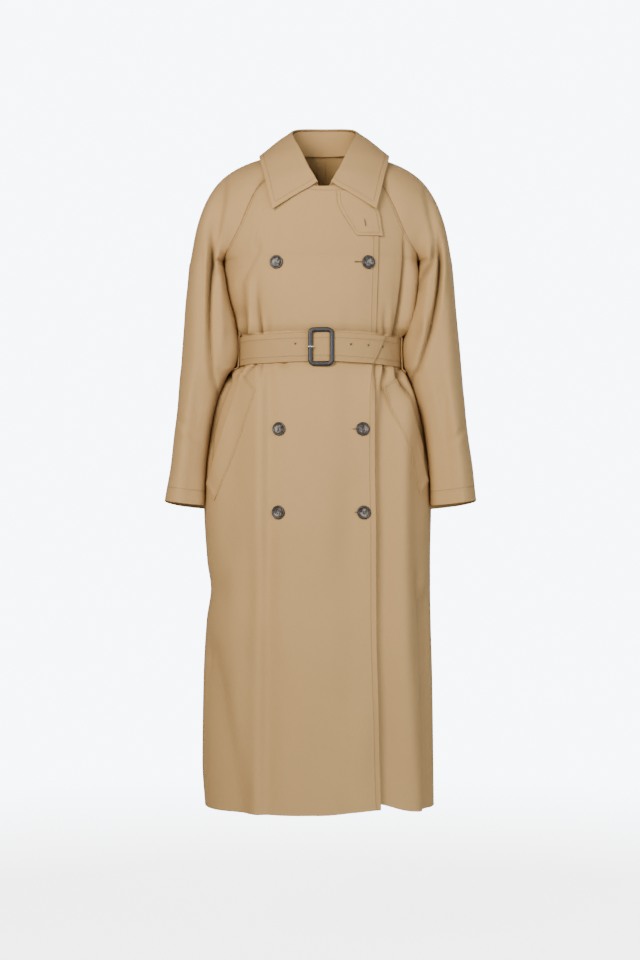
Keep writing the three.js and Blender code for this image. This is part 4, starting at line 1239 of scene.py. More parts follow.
def collar_cloth():
    """The leaf starts just inside the fold, rolls over it and falls to its outer edge."""
    _, steps, fold, edge, outward = collar_lines()
    up = np.array([0, 0, 1.0])
    rounded = mix(0.25, 1.0, ease(0, 1.6, steps))[:, None]
    columns = [fold - 1.4 * outward + 1.6 * up, fold + 1.2 * outward + 3 * up]
    for share in (0.12, 0.32, 0.55, 0.78, 1.0):
        roll = COLLAR_ROLL * math.sin(math.pi * share**0.7) * rounded
        columns.append(mix(fold, edge, share) + (2 + 0.6 * roll) * outward + 0.8 * roll * up)
    grid = np.stack(columns, axis=1)
    return Cloth(catmull(catmull(grid, 190), 34, axis=1), flip=True)


def stand_cloth():
    """The stand is sewn inside the neckline and rises to the fold of the leaf."""
    sides, steps, fold, _, outward = collar_lines()
    angle = mix(9, 180, steps / COLLAR_STEPS)
    x = sides * NECKLINE_WIDTH * np.sin(np.radians(angle))
    neck = np.stack([x, NECKLINE.read("y", angle), NECKLINE.read("z", angle)], axis=-1)
    inward = unit(np.array([0, -20, 0]) - neck * (1, 1, 0))
    foot = neck + inward * (CLOTH + 0.8) - np.array([0, 0, STAND_SINK])
    set_back = np.maximum(0, 1 - steps / 1.9) * 10.6
    top = fold - 1.2 * outward + np.stack([0 * set_back, set_back, 0 * set_back - 2.6], axis=-1)
    grid = np.stack([top, (top + foot) / 2, foot], axis=1)
    return Cloth(catmull(catmull(grid, 150), 12, axis=1), flip=True)


def latch_cloth():
    """The throat latch follows the overlapping front a little way off it."""
    z = np.linspace(LATCH.at[-1], LATCH.at[0], 46)[:, None]
    x = mix(LATCH.read("inner", z), LATCH.read("outer", z), np.linspace(0, 1, 34)[None, :])
    z = np.broadcast_to(z, x.shape)
    lift = LAP_LIFT + top_lift(x, z) + CLOTH + LAYER_GAP
    return Cloth(body_point(x, z, False, lift), flip=True)


def welt_cloth(side, seam, free):
    down = np.linspace(0, 1, 72)[:, None]
    across = np.linspace(0, 1, 18)[None, :]
    x = mix(mix(seam[0][0], seam[1][0], down), mix(free[0][0], free[1][0], down), across)
    z = mix(mix(seam[0][1], seam[1][1], down), mix(free[0][1], free[1][1], down), across)
    opening = 1.6 * across**2 * np.sin(math.pi * down)
    foot = 1.6 * ease(0.93, 1.0, down)
    lift = WELT_CLOTH + 0.2 + 1.9 * across + opening + foot + (on_lap(side * x) if side < 0 else 0.0)
    return Cloth(body_point(side * x, z, False, lift), flip=side > 0)


def belt_point(angle, up, lift=0.0):
    """A point of the belt's outer face at an angle from the front, and a height on it."""
    back = np.abs(angle) > 90
    x = section(BELT_Z, angle, back)[0] * np.sin(np.radians(angle))
    lap = np.where(back, 0.0, np.minimum(on_lap(x), LAP_LIFT * ease(136, 104, x)))
    spot = body_point(x, np.full(np.shape(x), BELT_Z), back, BELT_STANDOFF + BELT_CLOTH + lap + lift, plain=True)
    spot[..., 2] += up * BELT_HEIGHT
    return spot


def angle_of(x):
    return np.degrees(np.arcsin(x / section(BELT_Z, x, False)[0]))


def belt_wave(angle, up):
    """The belt's cloth isn't quite flat: it rolls a little at its edges and wanders up and down."""
    crown = 0.5 * (1 - (2 * up) ** 4)
    wander = 0.35 * np.sin(np.radians(angle) * 5.3 + 1) + 0.25 * np.sin(np.radians(angle) * 11.7)
    return crown + 0.3 * wander * up * 2, wander


def belt_cloth(angles, ups, lift):
    out, wander = belt_wave(angles, ups)
    points = belt_point(angles, ups, lift + out - 0.5)
    points[..., 2] += 0.8 * wander
    return Cloth(points)


BELT_UPS = np.linspace(0.5, -0.5, 18)[None, :]


def band_cloth():
    """The band runs from the buckle's bar, under the tail and round the back to the buckle again."""
    start = angle_of(5.0)
    end = angle_of(BELT_SPLIT_X - SEAM_GAP) + 360
    angles = np.linspace(start, end, 420)
    angles = np.where(angles > 180, angles - 360, angles)[:, None]
    angles, ups = np.broadcast_arrays(angles, BELT_UPS)
    return belt_cloth(angles, ups, 0.0)


def tail_cloth():
    """The tail passes over the buckle's bar and ends in a slant on the wearer's left."""
    share = np.linspace(0, 1, 110)[:, None]
    x = mix(BELT_SPLIT_X, TAIL_END_X + BELT_UPS * TAIL_END_SLANT, share)
    ups = np.broadcast_to(BELT_UPS, x.shape)
    return belt_cloth(angle_of(x), ups, TAIL_LIFT * ease(BELT_SPLIT_X, -4, x))


def loop_cloth(side):
    """A loop sewn to the body above and below the belt, passing outside it."""
    over_belt = BELT_STANDOFF + BELT_CLOTH + CLOTH + 0.9
    stations = np.array([
        (-1, CLOTH + 4), (-0.87, CLOTH + 4), (-0.8, over_belt), (0, over_belt), (0.8, over_belt),
        (0.87, CLOTH + 2), (1, CLOTH + 1.2),
    ])
    up = np.interp(np.linspace(0, 6, 50), np.arange(7), stations[:, 0])[:, None]
    lift = np.interp(np.linspace(0, 6, 50), np.arange(7), stations[:, 1])[:, None]
    height = BELT_Z + up * (BELT_HEIGHT / 2 + LOOP_REACH)
    swing = math.degrees(LOOP_WIDTH / 2 / float(section(BELT_Z, side, False)[0]))
    angle = side * LOOP_ANGLE + np.linspace(-swing, swing, 9)[None, :]
    x = section(height, side, False)[0] * np.sin(np.radians(angle))
    z = np.broadcast_to(height, x.shape)
    return Cloth(body_point(x, z, False, np.broadcast_to(lift, x.shape), plain=True))


def seam_groove(distance):
    """Sewn edges are drawn in a little."""
    return -0.4 * bell(distance, 1.4)


def run_of(line, first, last):
    """The part of a line between two shares of its points."""
    points, normals = line
    count = len(points)
    return points[int(first * count): int(last * count)], normals[int(first * count): int(last * count)]


def state_sheet(cloth):
    """Measures the flat size of a sheet's cut, which is its outer face laid out: its width, its length and its area."""
    width = float(cloth.across[:, -1].max()) * MM
    length = float(cloth.along[-1].max()) * MM
    one = np.cross(cloth.points[1:, :-1] - cloth.points[:-1, :-1], cloth.points[:-1, 1:] - cloth.points[:-1, :-1])
    two = np.cross(cloth.points[1:, :-1] - cloth.points[1:, 1:], cloth.points[:-1, 1:] - cloth.points[1:, 1:])
    area = float(np.linalg.norm(one, axis=-1).sum() + np.linalg.norm(two, axis=-1).sum()) / 2 * MM * MM
    area = min(area, 0.999 * width * length)


def cloth_thickness():
    return bpy.context.scene.coat_cloth.thickness / MM


def stitch_object(name, lines):
    trim = bpy.context.scene.coat_trim
    made = add_stitches(name, lines, trim.stitch_length / MM, trim.thread_radius / MM)
    return finish_piece(made, material("thread"), "gabardine")


def is_sewn_above(cloth, value):
    """The value on the rows along the raglan seam, and no sewing on the rows below."""
    above = np.arange(cloth.points.shape[0])[:, None] > len(PANEL_HEIGHTS)
    return np.where(above, value, UNSEWN)


SURFACES = {}


def surfaces():
    """The panels and sleeves, worked out once, because the sleeves start from the panels' seams."""
    if not SURFACES:
        for side in (-1, 1):
            front, back = front_cloth(side), back_cloth(side)
            SURFACES["front", side] = front
            SURFACES["back", side] = back
            SURFACES["sleeve", side] = sleeve_cloth(side, front, back)
            for cloth in (front, back):
                cloth.push(seam_groove(cloth.across))
            SURFACES["back", side].push(seam_groove(back.from_end(1)))
            sleeve = SURFACES["sleeve", side]
            sleeve.push(seam_groove(sleeve.across) + seam_groove(sleeve.from_end(1)))
    return SURFACES


SIDE_NAMES = {-1: "right", 1: "left"}


def add_front(side):
    cloth = surfaces()["front", side]
    to_edge = cloth.from_end(1)
    to_top = cloth.from_end(0)
    marks = (
        np.minimum(to_edge - EDGE_STITCH, to_top - TOP_STITCH),
        is_sewn_above(cloth, cloth.across - RAGLAN_STITCH),
    )
    name = f"front_{SIDE_NAMES[side]}"
    made = add_cloth(f"cloth_{name}", cloth, cloth_thickness(), marks, edges=(1, 1, 1, 0))
    finish_piece(made, material("coat_cloth"), "gabardine", name)
    state_sheet(cloth)
    edge_line = run_of(cloth.line_at(to_edge, EDGE_STITCH, 1), 0.004, 0.985)
    top_line = run_of(cloth.line_at(to_top, TOP_STITCH, 0), 0.1, 0.94)
    raglan_line = cloth.line_at(cloth.across, RAGLAN_STITCH, 1, first=len(PANEL_HEIGHTS) + 4, last=-2)
    stitch_object(f"stitching_{name}", [edge_line, top_line, raglan_line])


def add_back(side):
    cloth = surfaces()["back", side]
    marks = (
        is_sewn_above(cloth, cloth.across - RAGLAN_STITCH),
        cloth.from_end(1) - RAGLAN_STITCH,
    )
    name = f"back_{SIDE_NAMES[side]}"
    made = add_cloth(f"cloth_{name}", cloth, cloth_thickness(), marks, edges=(1, 0, 1, 0))
    finish_piece(made, material("coat_cloth"), "gabardine", name)
    state_sheet(cloth)
    raglan_line = cloth.line_at(cloth.across, RAGLAN_STITCH, 1, first=len(PANEL_HEIGHTS) + 4, last=-2)
    centre_line = cloth.line_at(cloth.from_end(1), RAGLAN_STITCH, 1, first=1, last=-2)
    stitch_object(f"stitching_{name}", [raglan_line, centre_line])


def add_seam_tape():
    """The centre back seam's allowances, pressed open inside the coat."""
    z = np.linspace(-1200, RAGLAN.read("backZ", 0.4), 260)[:, None]
    x = np.broadcast_to(np.linspace(-8, 8, 13)[None, :], (260, 13))
    z = np.broadcast_to(z, x.shape)
    inside = -bpy.context.scene.coat_cloth.thickness / MM - 0.4
    cloth = Cloth(body_point(x, z, True, inside), flip=True)
    made = add_cloth("cloth_centre_seam_allowance", cloth, 0.8)
    finish_piece(made, material("coat_cloth"), "gabardine")
    state_sheet(cloth)


def add_sleeve(side):
    cloth = surfaces()["sleeve", side]
    to_cuff = cloth.from_end(0)
    name = f"sleeve_{SIDE_NAMES[side]}"
    made = add_cloth(f"cloth_{name}", cloth, cloth_thickness(), (to_cuff - CUFF_STITCH,), edges=(0, 0, 1, 0))
    finish_piece(made, material("coat_cloth"), "gabardine", name)
    state_sheet(cloth)
    stitch_object(f"stitching_{name}", [cloth.line_at(to_cuff, CUFF_STITCH, 0)])


def add_collar():
    leaf = collar_cloth()
    to_edge = leaf.from_end(1)
    to_ends = np.minimum(leaf.along, leaf.from_end(0))
    inset = np.minimum(to_edge, to_ends) - COLLAR_STITCH
    made = add_cloth("cloth_collar", leaf, cloth_thickness(), (inset,))
    finish_piece(made, material("coat_cloth"), "gabardine", "collar")
    state_sheet(leaf)
    outer_line = run_of(leaf.line_at(to_edge, COLLAR_STITCH, 1), 0.035, 0.965)
    first_end = run_of(leaf.line_at(leaf.along, COLLAR_STITCH, 0), 0.3, 0.9)
    last_end = run_of(leaf.line_at(leaf.from_end(0), COLLAR_STITCH, 0), 0.3, 0.9)
    stitch_object("stitching_collar", [outer_line, first_end, last_end])
    stand = stand_cloth()
    made = add_cloth("cloth_collar_stand", stand, cloth_thickness(), edges=(1, 0, 1, 0))
    finish_piece(made, material("coat_cloth"), "gabardine", "collar_stand")
    state_sheet(stand)


def add_latch():
    cloth = latch_cloth()
    inset = np.minimum(cloth.from_end(0), np.minimum(cloth.across, cloth.from_end(1))) - 5.5
    made = add_cloth("cloth_throat_latch", cloth, cloth_thickness(), (inset,))
    finish_piece(made, material("coat_cloth"), "gabardine", "throat_latch")
    state_sheet(cloth)
    inner_line = run_of(cloth.line_at(cloth.across, 5.5, 1), 0.1, 0.9)
    outer_line = run_of(cloth.line_at(cloth.from_end(1), 5.5, 1), 0.1, 0.9)
    foot_line = run_of(cloth.line_at(cloth.from_end(0), 5.5, 0), 0.12, 0.88)
    stitch_object("stitching_throat_latch", [inner_line, outer_line, foot_line])


def add_welt(name, side, seam, free):
    cloth = welt_cloth(side, seam, free)
    inset = np.minimum(cloth.across - 3, np.minimum(cloth.along, cloth.from_end(0)) - 3)
    made = add_cloth(f"cloth_pocket_welt_{name}", cloth, WELT_CLOTH, (inset,), edges=(1, 1, 1, 0))
    finish_piece(made, material("coat_cloth"), "gabardine", f"pocket_welt_{name}")
    state_sheet(cloth)
    seam_line = cloth.line_at(cloth.across, 3.0, 1, first=2, last=-2)
    foot_line = cloth.line_at(cloth.from_end(0), 3.0, 0, first=2, last=-2)
    top_line = cloth.line_at(cloth.along, 3.0, 0, first=2, last=-2)
    stitch_object(f"stitching_pocket_welt_{name}", [seam_line, foot_line, top_line])


def ring_of(centre, normal, across, width, height, count=40):
    """A stadium outline round a centre, in the plane of a normal: its long way runs along across."""
    across = unit(np.asarray(across, float))
    up = np.cross(normal, across)
    turns = np.linspace(0, 2 * math.pi, count, endpoint=False)
    straight = (width - height) / 2
    x = np.cos(turns) * height / 2 + np.sign(np.cos(turns)) * straight
    y = np.sin(turns) * height / 2
    return centre + x[:, None] * across + y[:, None] * up


def surface_frame(spot_at, x, z, lift):
    """A point on a surface with its outward normal and its two ways, from small steps on it."""
    centre = spot_at(np.array([x]), np.array([z]), lift)[0]
    right = spot_at(np.array([x + 4.0]), np.array([z]), lift)[0] - centre
    up = spot_at(np.array([x]), np.array([z + 4.0]), lift)[0] - centre
    normal = unit(np.cross(right, up))
    return centre, normal, unit(right), unit(up)


def add_buttonhole(name, centre, normal, along, length):
    """Thread sewn round a slit: a ring of close stitches with a dark strip of painted shade in the slit."""
    ring = ring_of(centre + normal * 0.2, normal, along, length, 2.6, 64)
    thread = add_tube(f"{name}_thread", ring, 0.55, 8, closed=True, facing=normal)
    finish_piece(thread, material("thread"), "gabardine")
    # A dark flattened tube in the slit: painted shade where the slit opens
    ends = np.linspace(-0.5, 0.5, 9)[:, None]
    path = centre + normal * 0.1 + unit(along) * ends * (length - 2.4)
    slot = add_tube(f"{name}_slot", path, 0.55, 8, flat=0.35, facing=normal)
    finish_piece(slot, material("hole_shade"), "gabardine")


def add_eyelet(name, centre, normal, along):
    ring = ring_of(centre + normal * 0.15, normal, along, 4.6, 4.6, 32)
    thread = add_tube(f"{name}_thread", ring, 0.7, 8, closed=True, facing=normal)
    finish_piece(thread, material("thread"), "belt_cloth")
    # A dark dished disc in the eyelet's hole: painted shade
    rings = [ring_of(centre + normal * up, normal, along, size, size, 20) for size, up in ((3.2, 0.0), (3.0, 0.2), (0.2, 0.2))]
    faces = grid_faces(3, 20, closed=True)
    base = add_mesh(f"{name}_hole", np.concatenate(rings), np.concatenate([faces, np.arange(40, 60).reshape(5, 4)]))
    finish_piece(base, material("hole_shade"), "belt_cloth")


def belt_marks(cloth):
    return (cloth.across - BELT_STITCH, cloth.from_end(1) - BELT_STITCH)


def add_belt():
    band, tail = band_cloth(), tail_cloth()
    for name, cloth, edges in (("belt_band", band, (1, 1, 1, 1)), ("belt_tail", tail, (0, 1, 1, 1))):
        made = add_cloth(f"cloth_{name}", cloth, BELT_CLOTH - 0.3, belt_marks(cloth), edges)
        finish_piece(made, material("belt_cloth"), "belt_cloth", name)
        state_sheet(cloth)
    lines = [
        band.line_at(band.across, BELT_STITCH, 1, first=2, last=-2),
        band.line_at(band.from_end(1), BELT_STITCH, 1, first=2, last=-2),
        tail.line_at(tail.across, BELT_STITCH, 1, first=2, last=-4),
        tail.line_at(tail.from_end(1), BELT_STITCH, 1, first=2, last=-4),
        run_of(tail.line_at(tail.from_end(0), 5.0, 0), 0.12, 0.88),
    ]
    trim = bpy.context.scene.coat_trim
    made = add_stitches("stitching_belt", lines, trim.stitch_length / MM, trim.thread_radius / MM)
    finish_piece(made, material("thread"), "belt_cloth")
    for place, x in enumerate(EYELETS):
        on_tail = BELT_SPLIT_X < x < TAIL_END_X

        def spot_at(xs, zs, lift, over=TAIL_LIFT if on_tail else 0.0):
            return belt_point(angle_of(xs), (zs - BELT_Z) / BELT_HEIGHT, over + lift)

        centre, normal, right, _ = surface_frame(spot_at, x, EYELET_Z, 0.0)
        add_eyelet(f"eyelet_{place + 1}", centre, normal, right)


def add_loop(side):
    cloth = loop_cloth(side)
    name = f"belt_loop_{SIDE_NAMES[side]}"
    made = add_cloth(f"cloth_{name}", cloth, 1.6, (cloth.across - 3, cloth.from_end(1) - 3))
    finish_piece(made, material("coat_cloth"), "gabardine", name)
    state_sheet(cloth)
    lines = [cloth.line_at(cloth.across, 3.0, 1), cloth.line_at(cloth.from_end(1), 3.0, 1)]
    stitch_object(f"stitching_{name}", lines)


def rounded_loop(width, height, radius, count):
    """An even closed path round a rectangle with round corners, in the XZ plane."""
    quarter = np.linspace(0, math.pi / 2, 24)
    corners = ((1, -1, -0.5), (1, 1, 0.0), (-1, 1, 0.5), (-1, -1, 1.0))
    arcs = []
    for right, up, turn in corners:
        angle = quarter + turn * math.pi
        x = right * (width / 2 - radius) + radius * np.cos(angle)
        z = up * (height / 2 - radius) + radius * np.sin(angle)
        arcs.append(np.stack([x, 0 * x, z], axis=-1))
    path = np.concatenate([*arcs, arcs[0][:1]])
    run = np.concatenate([[0], np.cumsum(np.linalg.norm(np.diff(path, axis=0), axis=-1))])
    where = np.linspace(0, run[-1], count, endpoint=False)
    return np.stack([np.interp(where, run, path[:, axis]) for axis in range(3)], axis=-1)


def add_buckle():
    """A rounded frame of one flattened section, with a bar behind the tail."""
    tail_front = float(belt_point(np.array([0.0]), np.array([0.0]), TAIL_LIFT)[0, 1])
    seat = tail_front - SEAM_GAP
    middle = np.array([0, seat - BUCKLE_THICKNESS / 2, BUCKLE_Z])
    path = rounded_loop(BUCKLE_WIDTH - BUCKLE_BAR, BUCKLE_HEIGHT - BUCKLE_BAR, 7.5, 220) + middle
    flat = BUCKLE_THICKNESS / BUCKLE_BAR
    ring = add_tube("buckle_frame", path, BUCKLE_BAR / 2, 28, closed=True, flat=flat)
    bar_y = seat + SEAM_GAP + BELT_CLOTH + 0.9
    reach = BUCKLE_HEIGHT / 2 - BUCKLE_BAR / 2
    bar_z = BUCKLE_Z + np.concatenate([[reach, reach - 1.5], np.linspace(reach - 5, 5 - reach, 30), [1.5 - reach, -reach]])
    behind = np.concatenate([[middle[1], middle[1] + 1.5], np.full(30, bar_y), [middle[1] + 1.5, middle[1]]])
    bar_path = np.stack([0 * bar_z, behind, bar_z], axis=-1)
    bar = add_tube("buckle_bar", bar_path, 1.7, 12, flat=0.5)
    made = join("buckle_frame", [ring, bar])
    finish_piece(made, material("leather"), "buckle_leather", "buckle")
    face = seat - BUCKLE_THICKNESS
    x = np.linspace(-6, 6, 30)
    size = 1.5 * np.sqrt(np.clip(1 - np.clip((np.abs(x) - 4.4) / 1.6, 0, 1) ** 2, 0.01, 1)) * mix(0.85, 1.0, (x + 6) / 12)
    prong_path = np.stack([PRONG_X + x, np.full(30, face - 1.5), np.full(30, BUCKLE_Z)], axis=-1)
    prong = add_tube("buckle_prong_tip", prong_path, size, 16, flat=0.8)
    finish_piece(prong, material("polished_metal"), "prong_metal", "buckle_prong")


# Height of a button's face at each radius, from its middle to its rim and round to its back
BUTTON_PROFILE = (
    (0.0, 1.9), (1.2, 1.9), (2.4, 1.9), (3.9, 1.92), (5.2, 2.0), (6.6, 2.15), (7.8, 2.35), (8.6, 2.62),
    (9.3, 3.05), (10.0, 3.34), (10.8, 3.42), (11.6, 3.28), (12.2, 2.86), (12.55, 2.2), (12.6, 1.6),
    (12.3, 0.95), (11.5, 0.4), (10.0, 0.1), (6.0, 0.0), (0.0, 0.0),
)


def button_mesh(name, centre, normal, right, up):
    """A turned disc with a raised rim, a dished middle and four holes pressed deep into its face."""
    profile = catmull(np.array(BUTTON_PROFILE), 86)
    profile[0, 0] = profile[-1, 0] = 0.01
    turns = np.arange(96) * 2 * math.pi / 96
    radius = np.maximum(profile[:, :1], 0.01)
    x = radius * np.cos(turns)
    y = radius * np.sin(turns)
    height = np.broadcast_to(profile[:, 1:], x.shape).copy()
    face = np.arange(len(profile))[:, None] < 50
    for quarter in range(4):
        angle = (quarter + 0.5) * math.pi / 2
        off = np.hypot(x - BUTTON_HOLE_REACH * math.cos(angle), y - BUTTON_HOLE_REACH * math.sin(angle))
        height -= np.where(face, 1.5 * ease(1.3, 0.95, off), 0)
    spots = centre + x[..., None] * right + y[..., None] * up + height[..., None] * normal
    faces = grid_faces(len(profile), 96, closed=True)[:, ::-1]
    first = np.arange(96).reshape(24, 4)
    last = ((len(profile) - 1) * 96 + np.arange(96)).reshape(24, 4)[:, ::-1]
    maps = np.stack([np.broadcast_to(radius, x.shape) * MM, height * MM], axis=-1).reshape(-1, 2)
    del first, last
    return add_mesh(name, spots.reshape(-1, 3), faces, maps)


def add_button(name, x, z, seat):
    def spot_at(xs, zs, lift):
        return body_point(xs, zs, False, lift)

    centre, normal, right, up = surface_frame(spot_at, x, z, LAP_LIFT)
    made = button_mesh(f"horn_{name}", centre + normal * seat, normal, right, up)
    finish_piece(made, material("horn"), "button_horn", name)
    threads = []
    for side in (-1, 1):
        y = np.linspace(-1, 1, 14)
        rise = 1.9 + 0.75 * np.sqrt(np.clip(1 - y**4, 0, 1)) - 1.1 * ease(0.8, 1.0, np.abs(y))
        path = centre + normal * seat + right * side * 1.9
        path = path + up * (y * 2.3)[:, None] + normal * rise[:, None]
        threads.append(add_tube(f"{name}_thread_{side + 2}", path, 0.5, 8, facing=right))
    sewn = join(f"{name}_thread", threads)
    finish_piece(sewn, material("button_thread"), "button_horn")


def add_fastenings():
    for row, z, right_x, left_x, seat in BUTTON_ROWS:
        add_button(f"button_{row}_right", right_x, z, seat)
        add_button(f"button_{row}_left", left_x, z, seat)

        def spot_at(xs, zs, lift):
            return front_spot(-1, xs, zs, lift)

        centre, normal, right, _ = surface_frame(spot_at, left_x - 12.0, z, 0.0)
        add_buttonhole(f"buttonhole_{row}", centre, normal, right, 26.0)

    def latch_at(xs, zs, lift):
        return body_point(xs, zs, False, LAP_LIFT + top_lift(xs, zs) + CLOTH + LAYER_GAP + lift)

    centre, normal, right, up = surface_frame(latch_at, 79.5, -140.0, 0.0)
    add_buttonhole("buttonhole_latch", centre, normal, up - 0.2 * right, 14.0)


def hide_behind(made):
    made.hide_select = True
    return made


# The stage


def add_area_light(name, place, target, size, energy, colour=(1, 1, 1)):
    light = bpy.data.lights.new(name, "AREA")
    light.shape = "RECTANGLE"
    light.size, light.size_y = size
    light.energy = energy
    light.color = colour
    made = bpy.data.objects.new(name, light)
    bpy.context.scene.collection.objects.link(made)
    from mathutils import Vector

    made.visible_camera = False
    made.location = place
    made.rotation_euler = (Vector(target) - Vector(place)).to_track_quat("-Z", "Y").to_euler()
    return made


def floor_material(stage):
    """Pale matte floor that fades into the white surround away from its middle."""
    graph = Graph("pale_floor")
    x, y, _ = graph.split(graph.place())
    away = (x * x + y * y).math("SQRT")
    grain = graph.noise(graph.place(), 14.0, 2)
    graph.set("Base Color", graph.blend(grain * 0.2, (*stage.floor_colour, 1), scaled(stage.floor_colour, 0.97)))
    graph.set("Roughness", 0.9)
    graph.set("Emission Color", (1, 1, 1, 1))
    graph.set("Emission Strength", stage.floor_glow)
    seen = graph.out("ShaderNodeLightPath")
    dull = graph.out("ShaderNodeBsdfDiffuse", None, {"Color": (0.6, 0.6, 0.6, 1)})
    shown = graph.out("ShaderNodeMixShader", None, {0: seen, 1: dull, 2: Value(graph, graph.shader.outputs[0])})
    clear = graph.out("ShaderNodeBsdfTransparent")
    mixed = graph.node("ShaderNodeMixShader", None, {0: away.step(1.1, 2.8), 1: shown, 2: clear})
    output = graph.tree.nodes["Material Output"]
    graph.tree.links.new(mixed.outputs[0], output.inputs["Surface"])
    return graph.material


def add_stage():
    stage = bpy.context.scene.coat_stage
    turns = np.linspace(0, 2 * math.pi, 97)[:-1]
    rings = [np.stack([size * np.cos(turns), size * np.sin(turns), 0 * turns + stage.floor_height / MM], axis=-1)
             for size in (0.01, 1500.0, 3400.0)]
    floor = add_mesh("floor", np.concatenate(rings), grid_faces(3, 96, closed=True))
    floor.data.materials.append(floor_material(stage))
    world = bpy.context.scene.world or bpy.data.worlds.new("surround")
    bpy.context.scene.world = world
    world.use_nodes = True
    nodes, links = world.node_tree.nodes, world.node_tree.links
    background = nodes["Background"]
    background.inputs["Color"].default_value = (0.95, 1.0, 1.1, 1)
    rays = nodes.new("ShaderNodeLightPath")
    strength = nodes.new("ShaderNodeMix")
    strength.inputs[2].default_value = stage.surround_light
    strength.inputs[3].default_value = 8.5
    links.new(rays.outputs["Is Camera Ray"], strength.inputs[0])
    links.new(strength.outputs[0], background.inputs["Strength"])
    key = add_area_light("key", (-0.95, -2.25, 0.3), (0, 0, -0.2), (1.0, 1.0), stage.key_light, (1.0, 0.99, 0.96))
    key.data.spread = math.radians(110)
    add_area_light("fill", (2.0, -3.0, -0.1), (0, 0, -0.5), (2.2, 2.2), stage.key_light * 2.3, (0.88, 1.0, 1.2))
    add_area_light("back", (0.6, 3.4, 0.6), (0, 0, -0.5), (2.6, 1.6), stage.key_light * 3.0)
    camera = bpy.data.cameras.new("camera")
    camera.lens = stage.lens
    made = bpy.data.objects.new("camera", camera)
    bpy.context.scene.collection.objects.link(made)
    made.location = (-0.002, -stage.camera_distance, stage.camera_height)
    made.rotation_euler = (math.pi / 2, 0, 0)
    bpy.context.scene.camera = made


# Settings, operators and panel


class ClothSettings(bpy.types.PropertyGroup):
    colour: FloatVectorProperty(
        name="Cloth", description="Colour of the gabardine", subtype="COLOR", size=3,
        default=(0.37, 0.217, 0.0815), min=0, max=1)
    # How much darker the belt's cloth is than the coat's: partly its own tone, partly painted shade
    belt_tone_and_shade: FloatProperty(
        name="Belt tone", description="How bright the belt's cloth is beside the coat's", default=0.86, min=0, max=2)
    thickness: FloatProperty(
        name="Thickness", description="Thickness of the cloth's walls", default=1.8 * MM, unit="LENGTH")
    twill_pitch: FloatProperty(
        name="Twill pitch", description="Distance between the twill's lines", default=0.7 * MM, unit="LENGTH")


class TrimSettings(bpy.types.PropertyGroup):
    horn_dark: FloatVectorProperty(
        name="Horn rim", description="Dark colour of the buttons", subtype="COLOR", size=3,
        default=(0.009, 0.0065, 0.005), min=0, max=1)
    horn_pale: FloatVectorProperty(
        name="Horn mottling", description="Pale colour in the buttons", subtype="COLOR", size=3,
        default=(0.26, 0.2, 0.145), min=0, max=1)
    leather: FloatVectorProperty(
        name="Buckle leather", description="Colour of the covered buckle", subtype="COLOR", size=3,
        default=(0.008, 0.006, 0.005), min=0, max=1)
    metal: FloatVectorProperty(
        name="Prong", description="Colour of the prong's metal", subtype="COLOR", size=3,
        default=(0.86, 0.83, 0.79), min=0, max=1)
    stitch_length: FloatProperty(
        name="Stitch length", description="Distance from stitch to stitch", default=3.2 * MM, unit="LENGTH")
    thread_radius: FloatProperty(
        name="Thread radius", description="Radius of the sewing thread", default=0.3 * MM, unit="LENGTH")


class StageSettings(bpy.types.PropertyGroup):
    camera_distance: FloatProperty(
        name="Camera distance", description="How far in front the camera stands", default=4.6, unit="LENGTH")
    camera_height: FloatProperty(
        name="Camera height", description="Height of the level camera", default=-0.611, unit="LENGTH")
    lens: FloatProperty(name="Lens", description="Focal length in millimetres", default=91.8, unit="CAMERA")
    floor_height: FloatProperty(
        name="Floor height", description="Where the floor lies below the shoulders", default=-1.504, unit="LENGTH")
    floor_colour: FloatVectorProperty(
        name="Floor", description="Colour of the floor", subtype="COLOR", size=3, default=(0.9, 0.9, 0.9), min=0, max=1)
    floor_glow: FloatProperty(
        name="Floor glow", description="Light that the floor gives off, as a lit sweep does", default=3.6, min=0)
    surround_light: FloatProperty(
        name="Surround", description="Light from the white surround", default=0.5, min=0)
    key_light: FloatProperty(name="Key light", description="Power of the key light", default=38.0, unit="POWER")


class PieceOperator:
    """What every operator that makes pieces shares: it works through them and reports that it has."""

    bl_options = {"REGISTER", "UNDO"}

    def execute(self, context):
        self.make()
        return {"FINISHED"}


class COAT_OT_stage(PieceOperator, bpy.types.Operator):
    """Make the floor, the lights and the camera"""

    bl_idname = "coat.stage"
    bl_label = "Stage"

    def make(self):
        add_stage()


class COAT_OT_fronts(PieceOperator, bpy.types.Operator):
    """Make both fronts, with the edge, neck and raglan stitching"""

    bl_idname = "coat.fronts"
    bl_label = "Fronts"

    def make(self):
        for side in (-1, 1):
            add_front(side)


class COAT_OT_backs(PieceOperator, bpy.types.Operator):
    """Make both halves of the back"""

    bl_idname = "coat.backs"
    bl_label = "Backs"

    def make(self):
        for side in (-1, 1):
            add_back(side)
        add_seam_tape()


class COAT_OT_sleeves(PieceOperator, bpy.types.Operator):
    """Make the raglan sleeves"""

    bl_idname = "coat.sleeves"
    bl_label = "Sleeves"

    def make(self):
        for side in (-1, 1):
            add_sleeve(side)


class COAT_OT_collar(PieceOperator, bpy.types.Operator):
    """Make the collar's leaf and stand, and the throat latch"""

    bl_idname = "coat.collar"
    bl_label = "Collar and latch"

    def make(self):
        add_collar()
        add_latch()


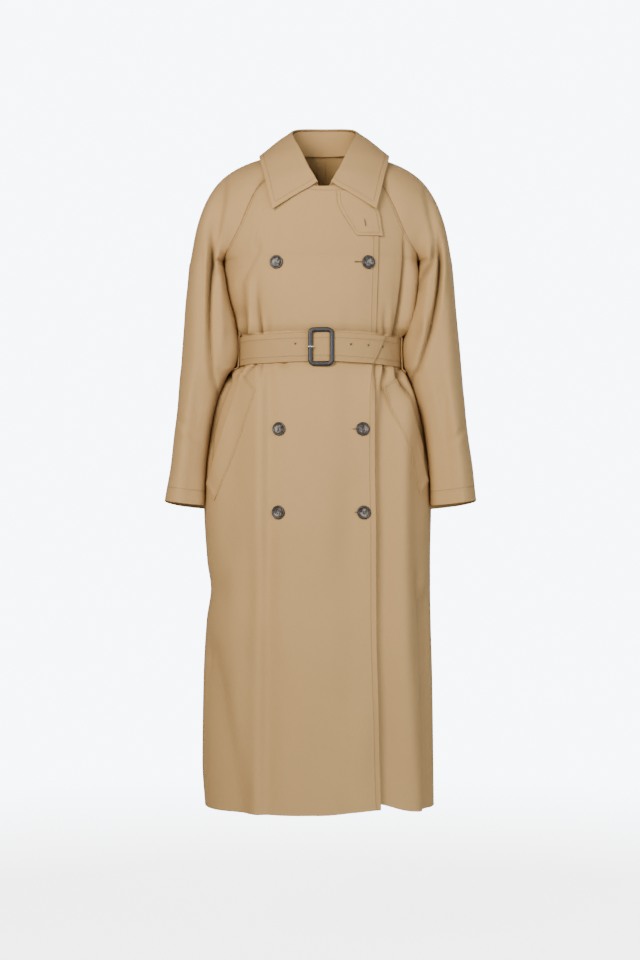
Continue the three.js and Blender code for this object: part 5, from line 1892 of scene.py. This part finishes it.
class COAT_OT_pockets(PieceOperator, bpy.types.Operator):
    """Make the pocket welts"""

    bl_idname = "coat.pockets"
    bl_label = "Pockets"

    def make(self):
        for welt in WELTS:
            add_welt(*welt)


class COAT_OT_belt(PieceOperator, bpy.types.Operator):
    """Make the belt with its eyelets and loops"""

    bl_idname = "coat.belt"
    bl_label = "Belt"

    def make(self):
        add_belt()
        for side in (-1, 1):
            add_loop(side)


class COAT_OT_buckle(PieceOperator, bpy.types.Operator):
    """Make the covered buckle and its prong"""

    bl_idname = "coat.buckle"
    bl_label = "Buckle"

    def make(self):
        add_buckle()


class COAT_OT_buttons(PieceOperator, bpy.types.Operator):
    """Make the buttons and the buttonholes"""

    bl_idname = "coat.buttons"
    bl_label = "Buttons"

    def make(self):
        add_fastenings()


OPERATORS = (
    COAT_OT_stage, COAT_OT_fronts, COAT_OT_backs, COAT_OT_sleeves, COAT_OT_collar, COAT_OT_pockets,
    COAT_OT_belt, COAT_OT_buckle, COAT_OT_buttons,
)


class COAT_PT_panel(bpy.types.Panel):
    """Lists the coat's settings and its pieces"""

    bl_idname = "COAT_PT_panel"
    bl_label = "Trench coat"
    bl_space_type = "VIEW_3D"
    bl_region_type = "UI"
    bl_category = "Coat"

    def draw(self, context):
        for group in (context.scene.coat_cloth, context.scene.coat_trim, context.scene.coat_stage):
            box = self.layout.box()
            for name in group.bl_rna.properties.keys():
                if name not in ("rna_type", "name"):
                    box.prop(group, name)
        for operator in OPERATORS:
            self.layout.operator(operator.bl_idname)


GROUPS = {"coat_cloth": ClothSettings, "coat_trim": TrimSettings, "coat_stage": StageSettings}


def register():
    for group in (*GROUPS.values(), *OPERATORS, COAT_PT_panel):
        bpy.utils.register_class(group)
    for name, group in GROUPS.items():
        setattr(bpy.types.Scene, name, PointerProperty(type=group))


def unregister():
    for name in GROUPS:
        delattr(bpy.types.Scene, name)
    for group in (COAT_PT_panel, *reversed(OPERATORS), *GROUPS.values()):
        bpy.utils.unregister_class(group)


def main():
    register()
    for operator in OPERATORS:
        family, name = operator.bl_idname.split(".")
        getattr(getattr(bpy.ops, family), name)()


if __name__ == "__main__":
    main()
